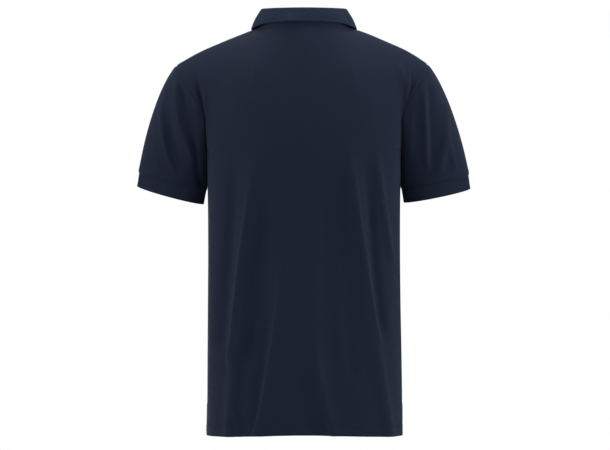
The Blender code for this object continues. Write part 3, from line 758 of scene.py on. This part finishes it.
# ---------------- materials
class Nodes:
    """Short calls for building a material's node tree."""

    def __init__(self, name):
        self.material = bpy.data.materials.new(name)
        self.material.use_nodes = True
        self.tree = self.material.node_tree
        self.place = self.add("TexCoord", "Object", {})

    def feed(self, node, inputs):
        """Sets inputs, by name or number, to values or to other nodes' outputs."""
        for key, value in inputs.items():
            if isinstance(value, bpy.types.NodeSocket):
                self.tree.links.new(value, node.inputs[key])
            else:
                node.inputs[key].default_value = value

    def add(self, kind, output, inputs, **settings):
        """Adds a node and returns one of its outputs."""
        node = self.tree.nodes.new("ShaderNode" + kind)
        for key, value in settings.items():
            setattr(node, key, value)
        self.feed(node, inputs)
        return node.outputs[output]

    def shade(self, inputs):
        self.feed(self.tree.nodes["Principled BSDF"], inputs)
        return self.material

    def math(self, operation, *values):
        return self.add("Math", "Value", dict(enumerate(values)), operation=operation)

    def noise(self, scale, detail):
        inputs = {"Vector": self.place, "Scale": scale, "Detail": detail}
        return self.add("TexNoise", "Fac", inputs)

    def ramp(self, value, low, high):
        """Colour from low to high as value goes from 0 to 1."""
        colour = self.add("ValToRGB", "Color", {"Fac": value})
        for element, end in zip(colour.node.color_ramp.elements, (low, high)):
            element.color = (*end, 1.0)
        return colour

    def mapped(self, value, low, high):
        return self.add("MapRange", "Result", {"Value": value, "To Min": low, "To Max": high})

    def bump(self, height, distance, strength, under=None):
        inputs = {"Height": height, "Distance": distance, "Strength": strength}
        if under is not None:
            inputs["Normal"] = under
        return self.add("Bump", "Normal", inputs)


def cloth_look(sheen):
    return {
        "Sheen Weight": sheen, "Sheen Roughness": 0.45, "Sheen Tint": SHEEN_TINT,
        "Specular IOR Level": 0.18,
    }


def knit_material(name, low, high, look):
    """Knitted cloth: small raised cells or loops with loose fibres on a soft ripple."""
    nodes = Nodes(name)
    layer = nodes.add("UVMap", "UV", {}, uv_map="cloth")
    split = nodes.add("SeparateXYZ", "X", {"Vector": layer}).node
    waves = [
        nodes.math("SINE", nodes.math("MULTIPLY", split.outputs[axis], 2 * math.pi / pitch))
        for axis, pitch in zip("XY", look["cell"])
    ]
    cells = nodes.math("MULTIPLY", *waves)
    fibres = nodes.noise(*look["fibres"])
    tone = nodes.math("MULTIPLY", nodes.math("ADD", cells, 1.0), 0.5)
    layers = (tone, nodes.noise(*look["clouds"]), fibres)
    parts = [nodes.math("MULTIPLY", part, share) for part, share in zip(layers, look["colour"])]
    blend = nodes.math("ADD", nodes.math("ADD", parts[0], parts[1]), parts[2])
    ripple = nodes.bump(nodes.noise(*look["ripple"]), *look["ripple_bump"])
    knit = nodes.bump(cells, *look["cell_bump"], ripple)
    return nodes.shade({
        **cloth_look(look["sheen"]),
        "Base Color": nodes.ramp(blend, low, high),
        "Roughness": nodes.mapped(fibres, *look["roughness"]),
        "Normal": nodes.bump(fibres, *FIBRE_BUMP, knit),
    })


def thread_material():
    """Twisted sewing thread in the cloth's colours."""
    nodes = Nodes("sewing_thread")
    fibres = nodes.noise(3200.0, 2.0)
    return nodes.shade({
        **cloth_look(0.06),
        "Base Color": nodes.ramp(fibres, NAVY_DARK, NAVY),
        "Roughness": 0.70,
        "Normal": nodes.bump(fibres, 0.00006, 0.6),
    })


def button_material():
    """Moulded dark blue resin with a faint cloudy figure."""
    nodes = Nodes("button_resin")
    scuffs = nodes.noise(1400.0, 3.0)
    return nodes.shade({
        "Base Color": nodes.ramp(nodes.noise(260.0, 3.0), RESIN_DARK, RESIN),
        "Roughness": nodes.mapped(scuffs, 0.20, 0.38),
        "Coat Weight": 0.25,
        "Coat Roughness": 0.15,
        "Normal": nodes.bump(scuffs, 0.00003, 0.4),
    })


# ---------------- back and front
def half_panel_angles(first):
    """Column angles from the first to the side, closer together beside the armhole."""
    inner = mix(first, NECK_ANGLE, np.arange(NECK_STEPS) / NECK_STEPS)
    share = np.arange(SHOULDER_STEPS + 1) / SHOULDER_STEPS
    share = share + SHOULDER_CROWDING * np.sin(math.pi * share)
    return np.concatenate([inner, mix(NECK_ANGLE, QUARTER, share)])


def edge_distances(cloth):
    """Distance of each point to the panel's side edges, to its top and from its hem."""
    across, along = cloth.across(), cloth.along()
    to_side = np.minimum(across - across[:, :1], across[:, -1:] - across)
    return to_side, along[-1:] - along, along


def turned_up(distance, width):
    """1 on a turned edge of this width and 0 beyond it."""
    return 1 - ease((distance - width + TURN_SOFTNESS) / (2 * TURN_SOFTNESS))


def finish_panel(cloth, creases):
    """Creases, seam valleys, the turned hem and the vents' turned edges."""
    x, z = cloth.points[..., 0], cloth.points[..., 2]
    to_side, to_top, from_hem = edge_distances(cloth)
    height = fold_height(creases, CREASE_FADE, x, z, CREASE_RISE)
    height = height * ease(np.minimum(to_side, to_top) / SEAM_FADE)
    at_shoulder = np.abs(x) > NECK_HALF_WIDTH * 0.98
    height -= SEAM_GROOVE * valley(to_top) * at_shoulder
    in_vent = z < HEM_SIDE_Z + VENT_HEIGHT
    depth = np.where(z > UNDERARM_Z, ARMHOLE_GROOVE, SEAM_GROOVE)
    height -= depth * valley(to_side) * ~in_vent
    vent = turned_up(to_side, VENT_TURN) * in_vent
    height += TURN_RAISE * np.maximum(turned_up(from_hem, HEM_TURN), vent)
    height -= STITCH_SINK * bell(from_hem - HEM_TURN, STITCH_SINK_WIDTH)
    first, second = (cloth.across() / wave for wave in PUCKER_WAVES)
    pucker = np.sin(first) * np.sin(second + 1.0)
    height += PUCKER * pucker * bell(from_hem - HEM_TURN * 0.7, PUCKER_REACH)
    cloth.raise_by(height)


def relax_yoke(cloth):
    """Smooths the cloth below the points where the neck meets the shoulder seams."""
    to_top = edge_distances(cloth)[1]
    beside = bell(np.abs(cloth.points[..., 0]) - NECK_HALF_WIDTH, RELAX_WIDTH)
    near = ease(to_top / RELAX_START) * ease((RELAX_DEPTH - to_top) / RELAX_END)
    weight = (near * beside)[..., None] * RELAX_STRENGTH
    for _ in range(RELAX_ROUNDS):
        grid = cloth.points
        around = grid.copy()
        around[1:-1, 1:-1] = (
            grid[1:-1, :-2] + grid[1:-1, 2:] + grid[:-2, 1:-1] + grid[2:, 1:-1]
        ) / 4
        cloth.points = mix(grid, around, weight)


def panel_stitches(cloth, thread):
    """Double row above the hem, one round each vent, one along each shoulder seam."""
    along, across = cloth.along(), cloth.across()
    rows, columns = numbers(along)
    for distance in (HEM_TURN, HEM_TURN - ROW_SPACING):
        thread.run(cloth, rows_at(distance, along), columns)
    seam_rows = rows_at(-SEAM_STITCH, along - along[-1:])
    for sign in (-1, 1):
        top_x = sign * cloth.points[-1, :, 0]
        shoulder = top_x > NECK_HALF_WIDTH + SHOULDER_STITCH_START
        thread.run(cloth, seam_rows[shoulder], columns[shoulder])
    low = cloth.points[:, 0, 2] < HEM_SIDE_Z + VENT_HEIGHT
    reach = across[low]
    thread.run(cloth, rows[low], columns_at(VENT_TURN, reach - reach[:, :1]))
    thread.run(cloth, rows[low], columns_at(-VENT_TURN, reach - reach[:, -1:]))


def make_back(material, thread):
    half = half_panel_angles(0.0)
    angles = np.concatenate([-half[:0:-1], half])
    cloth = Cloth(body_point(BACK, angles[None, :], panel_levels()[:, None]))
    relax_yoke(cloth)
    finish_panel(cloth, BACK_CREASES)
    piece = cloth.build("back_panel", material, CLOTH, "back", "pique")
    panel_stitches(cloth, thread)


def angle_at_x(level, x):
    """Column angle at which the front panel has this distance from the centre line."""
    level, x = np.broadcast_arrays(np.asarray(level, float), np.asarray(x, float))
    low, high = np.zeros(level.shape), np.full(level.shape, QUARTER)
    return bisect(low, high, 40, lambda angle: body_point(FRONT, angle, level)[..., 0] < x)


def placket_bottom_level():
    """Level whose centre point is at the foot of the placket."""
    hem = HEM_SIDE_Z + HEM_RISE
    return (NECK_FRONT_Z - PLACKET_LENGTH - hem) / (UNDERARM_Z - hem)


def front_surface(x, z):
    """Points of the front panel's outer surface near the centre line."""
    x, z = np.broadcast_arrays(np.asarray(x, float), np.asarray(z, float))

    def found(level):
        return body_point(FRONT, angle_at_x(level, np.abs(x)), level)

    low, high = np.full(x.shape, 0.5), np.full(x.shape, 2.0)
    level = bisect(low, high, 34, lambda level: found(level)[..., 2] < z)
    return vectors(x, found(level)[..., 1], z)


def make_front(material, thread):
    levels = panel_levels()
    foot = placket_bottom_level()
    foot_row = int(np.argmin(np.abs(levels[:BODY_ROWS] - foot)))
    levels[foot_row] = foot
    edge = angle_at_x(levels, PLACKET_WIDTH / 2 + SEAM_GAP)
    rows = []
    for level, first in zip(levels, edge):
        half = half_panel_angles(first)
        centre = mix(-first, first, np.arange(1, CENTRE_STEPS) / CENTRE_STEPS)
        angles = np.concatenate([-half[::-1], centre, half])
        rows.append(body_point(FRONT, angles[::-1], level))
    cloth = Cloth(rows)
    finish_panel(cloth, FRONT_CREASES)
    columns = cloth.points.shape[1]
    first = (columns - CENTRE_STEPS - 1) // 2
    left_out = np.zeros((len(levels) - 1, columns - 1), bool)
    left_out[foot_row:, first:first + CENTRE_STEPS] = True
    piece = cloth.build("front_panel", material, CLOTH, "front", "pique", left_out)
    panel_stitches(cloth, thread)


# ---------------- placket and buttons
def placket_points(half_width, top_drop, bottom_drop):
    """Rows of points on the front's surface, from the foot up, +x to -x."""
    x = mix(half_width, -half_width, np.arange(PLACKET_STEPS + 1) / PLACKET_STEPS)
    z_top = neck_ring(math.pi - np.arcsin(x / NECK_HALF_WIDTH))[:, 2] - top_drop
    z_foot = NECK_FRONT_Z - PLACKET_LENGTH + bottom_drop
    z = mix(z_foot, z_top[None, :], np.arange(PLACKET_ROWS + 1)[:, None] / PLACKET_ROWS)
    return front_surface(x[None, :], z)


def make_placket(material, thread):
    under = Cloth(placket_points(PLACKET_WIDTH / 2, 0.0, SEAM_GAP))
    piece = under.build("placket_under_layer", material, CLOTH, "placket_under", "pique")
    half_width = PLACKET_WIDTH / 2 + PLACKET_LAP
    over = Cloth(placket_points(half_width, PLACKET_TOP_DROP, -PLACKET_LAP))
    edge = half_width - np.abs(over.points[..., 0])
    lift = mix(PLACKET_EDGE_LIFT, PLACKET_LIFT, ease(edge / PLACKET_EDGE_WIDTH))
    lift -= PLACKET_SINK * bell(edge - PLACKET_STITCH, PLACKET_SINK_WIDTH)
    over.points[..., 1] += lift
    piece = over.build("placket_over_layer", material, CLOTH, "placket_over", "pique")
    across = over.across()
    rows, columns = numbers(across)
    place = half_width - PLACKET_STITCH
    for side in (-1, 1):
        thread.run(over, rows, columns_at(side * place, across))
    inside = np.abs(across[0]) < place
    for height in PLACKET_CROSS_ROWS:
        thread.run(over, rows_at(height, over.along())[inside], columns[inside])
    return over


def button_seat(drop):
    """Centre of a button's middle plane and its outward direction."""
    z = NECK_FRONT_Z - drop
    reach = BUTTON_DIAMETER / 2
    seat = front_surface(0.0, z)
    slope = front_surface(0.0, z + reach) - front_surface(0.0, z - reach)
    normal = unit(np.cross(slope, np.array([1.0, 0.0, 0.0])))
    return seat + normal * (PLACKET_LIFT + SEAM_GAP + BUTTON_THICKNESS / 2), normal


def button_mesh():
    """Turned button with a raised rim."""
    radius, half = BUTTON_DIAMETER / 2, BUTTON_THICKNESS / 2
    shape = bmesh.new()
    rings = []
    for share, height in BUTTON_PROFILE:
        turns = [2 * math.pi * step / BUTTON_SIDES for step in range(BUTTON_SIDES if share else 1)]
        reach = radius * share
        rings.append([
            shape.verts.new((reach * math.cos(turn), reach * math.sin(turn), height * half))
            for turn in turns
        ])
    for upper, lower in zip(rings, rings[1:]):
        for step in range(BUTTON_SIDES):
            following = (step + 1) % BUTTON_SIDES
            if len(upper) == 1:
                corners = (upper[0], lower[step], lower[following])
            elif len(lower) == 1:
                corners = (upper[step], lower[0], upper[following])
            else:
                corners = (upper[step], lower[step], lower[following], upper[following])
            shape.faces.new(corners)
    bmesh.ops.recalc_face_normals(shape, faces=shape.faces)
    return finished(shape, "button_blank")


def finished(shape, name):
    """The mesh of a finished bmesh."""
    mesh = bpy.data.meshes.new(name)
    shape.to_mesh(mesh)
    shape.free()
    return mesh


def hole_cutter():
    """Four upright pins where a button's holes go."""
    shape = bmesh.new()
    for x in (-BUTTON_HOLE_PLACE, BUTTON_HOLE_PLACE):
        for y in (-BUTTON_HOLE_PLACE, BUTTON_HOLE_PLACE):
            bmesh.ops.create_cone(
                shape, cap_ends=True, segments=BUTTON_HOLE_SIDES, radius1=BUTTON_HOLE_RADIUS,
                radius2=BUTTON_HOLE_RADIUS, depth=BUTTON_THICKNESS * 2,
                matrix=Matrix.Translation((x, y, 0)),
            )
    return add_object("hole_cutter", finished(shape, "hole_cutter"))


def pierced_button():
    """The mesh of a button with its four holes cut through."""
    cutter = hole_cutter()
    blank = add_object("button_blank", button_mesh())
    cut = blank.modifiers.new("holes", "BOOLEAN")
    cut.object = cutter
    cut.solver = "EXACT"
    graph = bpy.context.evaluated_depsgraph_get()
    mesh = bpy.data.meshes.new_from_object(blank.evaluated_get(graph))
    for helper in (blank, cutter):
        bpy.data.objects.remove(helper, do_unlink=True)
    return mesh


def make_buttons(material, thread):
    blank = pierced_button()
    for name, drop in BUTTON_DROPS.items():
        seat, normal = button_seat(drop)
        turn = Vector(normal).to_track_quat("Z", "Y").to_matrix().to_4x4()
        place = Matrix.Translation(Vector(seat)) @ turn
        mesh = blank.copy()
        mesh.transform(place)
        mesh.materials.clear()
        mesh.materials.append(material)
        mesh.shade_smooth()
        mesh.set_sharp_from_angle(angle=BUTTON_CREASE)
        declare(add_object(name + "_turned", mesh), name)
        rest = np.array(place.to_3x3())
        for side in (-BUTTON_HOLE_PLACE, BUTTON_HOLE_PLACE):
            centre = seat + rest @ np.array([0.0, side, 0.0])
            centre = centre + normal * (BUTTON_THICKNESS * BUTTON_STITCH_LIFT)
            thread.stitch(centre, rest @ np.array([1.0, 0.0, 0.0]), normal, *BUTTON_STITCH)


def make_buttonholes(over, thread):
    """Close satin stitches down both sides of each buttonhole, half hidden by its button."""
    across = over.across()
    height = over.points[:, over.points.shape[1] // 2, 2]
    rows, columns = numbers(across)
    level = np.array([1.0, 0.0, 0.0])
    for drop in BUTTON_DROPS.values():
        foot = NECK_FRONT_Z - drop - BUTTONHOLE_HALF_LENGTH
        head = NECK_FRONT_Z - drop + BUTTONHOLE_HALF_LENGTH
        for side in (-BUTTONHOLE_HALF_WIDTH, BUTTONHOLE_HALF_WIDTH):
            for z in np.arange(foot, head, BUTTONHOLE_PITCH):
                row = np.interp(z, height, rows)
                column = np.interp(side, across[int(row)], columns)
                point, normal = over.at(np.array([row]), np.array([column]))
                thread.stitch(point[0], level, normal[0], *BUTTONHOLE_STITCH)


# ---------------- sleeves and cuffs
def armhole_ring(name, count):
    """Armhole points of one side: down the back from the shoulder, up the front."""
    angle = SLEEVES[name]["side"] * QUARTER
    share = 1 - np.arange(count // 2 + 1) / (count // 2)
    levels = 2.0 - (0.5 * (1.0 + np.cos(math.pi * share))) ** YOKE_CROWDING
    behind = body_point(BACK, angle, levels)
    before = body_point(FRONT, angle, levels[::-1])
    behind[0] = before[-1] = (behind[0] + before[-1]) / 2
    behind[-1] = before[0] = (behind[-1] + before[0]) / 2
    return np.concatenate([behind, before[1:-1]])


def sleeve_ring(name, seam_share, inset, count):
    """Ring of points around the sleeve's end: 0 at the open end, 1 at the cuff seam."""
    values = SLEEVES[name]
    side = values["side"]
    ends = mix(np.array(values["open"]), np.array(values["seam"]), seam_share)
    outer, inner = (np.array([side * x, 0.0, z]) for x, z in ends)
    inner[0] -= side * UNDER_FULLNESS * seam_share
    outward = unit(outer - inner)
    half_width = np.linalg.norm(outer - inner) / 2 - inset
    backward = unit(np.array([0, -1, -CUFF_BACK_SLOPE])) * (CUFF_HALF_DEPTH - inset)
    forward = mix(CUFF_FORWARD, CUFF_FORWARD / 2, seam_share)
    centre = (outer + inner) / 2 + np.array([0, forward, 0])
    turn = 2 * math.pi * np.arange(count)[:, None] / count
    return centre + outward * half_width * np.cos(turn) + backward * np.sin(turn)


def sleeve_points(name, start, end, share):
    """Rings of points between the armhole and the cuff seam."""
    side = SLEEVES[name]["side"]
    count = len(start)
    turn = (2 * math.pi * np.arange(count) / count)[None, :]
    share = share[:, None]
    high = (1 + np.cos(turn)) / 2
    spread = mix(SLEEVE_INNER_SPREAD, SLEEVE_SPREAD, high)
    leave = unit(vectors(side * spread, -SLEEVE_SWELL * np.sin(turn), -1.0))
    arrive = unit(vectors(side * SLEEVE_END_SPREAD * high, 0.0, -1.0))
    side_on = np.sin(turn) ** 2
    start_length = mix(SLEEVE_PULL_INNER, SLEEVE_PULL_OUTER, high) + SLEEVE_PULL_SIDE * side_on
    end_length = mix(SLEEVE_PULL_INNER, SLEEVE_END_PULL_OUTER, high)
    end_length = end_length + SLEEVE_END_PULL_SIDE * side_on
    start_pull = leave * start_length[..., None]
    end_pull = arrive * end_length[..., None]
    points = hermite(start[None], end[None], start_pull, end_pull, share[..., None])
    facing = (np.abs(np.sin(turn)) * np.sin(math.pi * share)) ** 0.5
    forwards = -np.sign(np.sin(turn))
    folds = fold_height(SLEEVE_FOLDS[name], FOLD_FADE, points[..., 0], points[..., 2])
    points[..., 1] += folds * facing * forwards
    under = ((1 - np.cos(turn)) / 2) ** 3 * np.sin(math.pi * share)
    points[..., 0] -= side * UNDER_SAG * under
    return points


def turned_ring(name, points):
    """Ring order whose faces look outwards, with its join along the underarm."""
    points = points if SLEEVES[name]["side"] > 0 else points[:, ::-1]
    shift = points.shape[1] // 2
    if SLEEVES[name]["side"] < 0:
        shift -= 1
    return np.roll(points, -shift, axis=1)


def make_sleeve(name, material):
    start = armhole_ring(name, SLEEVE_STEPS)
    end = sleeve_ring(name, 1.0 - SEWN_IN / CUFF_LENGTH, 0.0, SLEEVE_STEPS)
    even = np.linspace(0.0, 1.0, SLEEVE_ROWS + 1)
    share = mix(SLEEVE_START, 1.0, mix(even, ease(even), SLEEVE_CROWDING))
    cloth = Cloth(turned_ring(name, sleeve_points(name, start, end, share)), ring=True)
    along, around = cloth.along()[:, :-1], cloth.across()[:, :-1]
    to_cuff = along[-1:] - along
    x, z = cloth.points[..., 0], cloth.points[..., 2]
    height = fold_height(SLEEVE_CREASES[name], CREASE_FADE, x, z)
    height = height * np.abs(cloth.normals()[..., 1]) ** 0.7
    height = height * ease(along / SEAM_FADE) * ease(to_cuff / SEAM_FADE)
    height -= ARMHOLE_GROOVE * valley(along)
    height -= CUFF_SEAM_GROOVE * valley(to_cuff)
    first, second = (around / wave for wave in GATHER_WAVES)
    gather = np.sin(first + np.sin(second)) * ease(to_cuff / GATHER_PLACE)
    height += GATHER * gather * bell(to_cuff - GATHER_PLACE, GATHER_REACH)
    cloth.raise_by(height)
    piece = cloth.build("sleeve_" + name + "_cloth", material, CLOTH, "sleeve_" + name, "pique")


def rib_relief(number, to_edge, fade):
    """Height of the rib at points with these numbers; its edge is plain and thicker."""
    ribs = np.cos(2 * math.pi * number / POINTS_PER_RIB) - 1
    ribs = RIB_HEIGHT * ribs * ease(to_edge / CAST_OFF) * fade
    return ribs + CAST_OFF_RAISE * bell(to_edge - CAST_OFF * 0.4, CAST_OFF * 0.5)


def make_cuff(name, material):
    count = CUFF_RIBS * POINTS_PER_RIB
    shares = np.arange(CUFF_ROWS + 1) / CUFF_ROWS
    rows = [sleeve_ring(name, 1 - share, CUFF_INSET * (1 - share), count) for share in shares]
    cloth = Cloth(turned_ring(name, np.array(rows)), ring=True)
    along = cloth.along()[:, :-1]
    to_open = along[-1:] - along
    height = rib_relief(np.arange(count)[None, :], to_open, ease(along / RIB_START))
    height -= CUFF_SEAM_GROOVE * valley(along)
    cloth.raise_by(height)
    piece = cloth.build("cuff_" + name + "_rib", material, RIB_CLOTH, "cuff_" + name, "rib")


# ---------------- collar
def collar_points(angle):
    """Rows of points across the collar, one row for each angle along the neck seam."""
    share = np.abs(angle) / math.pi
    depth = np.where(np.abs(angle) < QUARTER, -NECK_BACK_Y, NECK_FRONT_Y)
    outward = unit(vectors(np.sin(angle) / NECK_HALF_WIDTH, -np.cos(angle) / depth, 0.0))
    upright = np.array([0.0, 0.0, 1.0])
    off_panel = unit(upright - outward / 2)
    seam = neck_ring(angle) - off_panel * SEWN_IN - outward * RIB_CLOTH
    x, y, z, stand, belly = (smooth_table(COLLAR_EDGE, name, share) for name in COLLAR_EDGE[0][1:])
    edge = vectors(np.copysign(x, angle), y, z)
    stand, belly = stand[:, None], belly[:, None]
    lean = mix(COLLAR_LEAN, COLLAR_FRONT_LEAN, ease(share * 4 - 2))[:, None]
    up = unit(upright - outward * lean)
    top = seam + up * (stand - COLLAR_FOLD_RADIUS)
    middle = top + outward * COLLAR_FOLD_RADIUS
    columns = [mix(seam, top, step / STAND_STEPS) for step in range(STAND_STEPS)]
    for step in range(FOLD_STEPS):
        bend = math.pi * step / FOLD_STEPS
        radial = up * math.sin(bend) - outward * math.cos(bend)
        columns.append(middle + radial * COLLAR_FOLD_RADIUS)
    start = middle + outward * COLLAR_FOLD_RADIUS
    for step in range(FALL_STEPS + 1):
        fall_share = step / FALL_STEPS
        swell = (outward + up) * belly * math.sin(math.pi * fall_share)
        columns.append(mix(start, edge, fall_share) + swell)
    return np.stack(columns, axis=1)


def make_collar(material):
    count = COLLAR_RIBS * POINTS_PER_RIB
    last = math.pi - math.asin(COLLAR_END_X / NECK_HALF_WIDTH)
    cloth = Cloth(collar_points(np.linspace(-last, last, count + 1)))
    across, along = cloth.across(), cloth.along()
    to_edge, from_seam = across[:, -1:] - across, across - across[:, :1]
    to_end = np.minimum(along, along[-1:] - along)
    fade = ease(from_seam / RIB_START) * ease(to_end / CAST_OFF)
    height = rib_relief(np.arange(count + 1)[:, None], to_edge, fade)
    x, y = cloth.points[..., 0], cloth.points[..., 1]
    lifted = bell(x - COLLAR_LIFT_X, COLLAR_LIFT_WIDTH) * (y < 0)
    height += COLLAR_LIFT * lifted * ease(1 - to_edge / COLLAR_LIFT_REACH)
    cloth.raise_by(height)
    piece = cloth.build("collar_rib_painted_light", material, RIB_CLOTH, "collar", "rib")


# ---------------- studio and camera
def make_camera():
    camera = bpy.data.cameras.new("camera")
    camera.sensor_width = CAMERA_SENSOR
    camera.sensor_fit = "HORIZONTAL"
    camera.lens = CAMERA_SENSOR * CAMERA_DISTANCE / VIEW_WIDTH
    camera.clip_end = CAMERA_REACH
    holder = add_object("camera", camera)
    holder.location = (VIEW_CENTRE[0], -CAMERA_DISTANCE, VIEW_CENTRE[1])
    holder.rotation_euler = (QUARTER, 0.0, 0.0)
    bpy.context.scene.camera = holder


def make_light(name, place, size, power):
    light = bpy.data.lights.new(name, "AREA")
    light.shape = "RECTANGLE"
    light.size, light.size_y = size
    light.energy = power
    holder = add_object(name, light)
    holder.location = place
    aim = Vector(LIGHT_AIM) - Vector(place)
    holder.rotation_euler = aim.to_track_quat("-Z", "Y").to_euler()


def make_floor():
    nodes = Nodes("studio_floor")
    material = nodes.shade(
        {"Base Color": nodes.ramp(nodes.noise(30.0, 2.0), FLOOR_DARK, FLOOR), "Roughness": 0.7}
    )
    low, high = -FLOOR_HALF, FLOOR_HALF
    corners = [(low, low, 0), (high, low, 0), (high, high, 0), (low, high, 0)]
    floor = add_object("floor", add_mesh("floor", corners, [(0, 1, 2, 3)], material))
    floor.location = (0, 0, FLOOR_Z)


def make_world():
    """Plain white where the camera sees it, and a faint light on everything else."""
    world = bpy.data.worlds.new("studio")
    world.use_nodes = True
    nodes, links = world.node_tree.nodes, world.node_tree.links
    seen = nodes["Background"]
    lit = nodes.new("ShaderNodeBackground")
    for background, colour, strength in ((seen, (1.0,) * 4, 1.0), (lit, WORLD_TINT, WORLD_LIGHT)):
        background.inputs["Color"].default_value = colour
        background.inputs["Strength"].default_value = strength
    choose = nodes.new("ShaderNodeMixShader")
    rays = nodes.new("ShaderNodeLightPath")
    links.new(rays.outputs["Is Camera Ray"], choose.inputs["Fac"])
    links.new(lit.outputs["Background"], choose.inputs[1])
    links.new(seen.outputs["Background"], choose.inputs[2])
    links.new(choose.outputs["Shader"], nodes["World Output"].inputs["Surface"])
    bpy.context.scene.world = world
    bpy.context.scene.view_settings.view_transform = "Standard"


# ---------------- the shirt
def main():
    make_camera()
    pique = knit_material("pique_knit", NAVY_DARK, NAVY, PIQUE_LOOK)
    # The collar's copy of the rib knit is painted lighter as a painted highlight from the top
    # light; the cuffs' copy keeps the cloth's navy.
    collar_rib_painted_light = knit_material("collar_rib_knit_painted_top_light", RIB_NAVY_DARK_PAINTED_TOP_LIGHT, RIB_NAVY_PAINTED_TOP_LIGHT, RIB_LOOK)
    cuff_rib = knit_material("cuff_rib_knit", NAVY_DARK, NAVY, RIB_LOOK)
    sewing = thread_material()
    resin = button_material()
    body_thread, placket_thread, button_thread = Thread(), Thread(), Thread()
    make_back(pique, body_thread)
    make_front(pique, body_thread)
    over = make_placket(pique, placket_thread)
    make_buttonholes(over, placket_thread)
    make_buttons(resin, button_thread)
    for name in SLEEVES:
        make_sleeve(name, pique)
        make_cuff(name, cuff_rib)
    make_collar(collar_rib_painted_light)
    body_thread.build("body_stitching", sewing, "pique")
    placket_thread.build("placket_stitching", sewing, "pique")
    button_thread.build("button_thread", sewing, "button")
    make_floor()
    make_world()
    for light in LIGHTS:
        make_light(*light)


main()
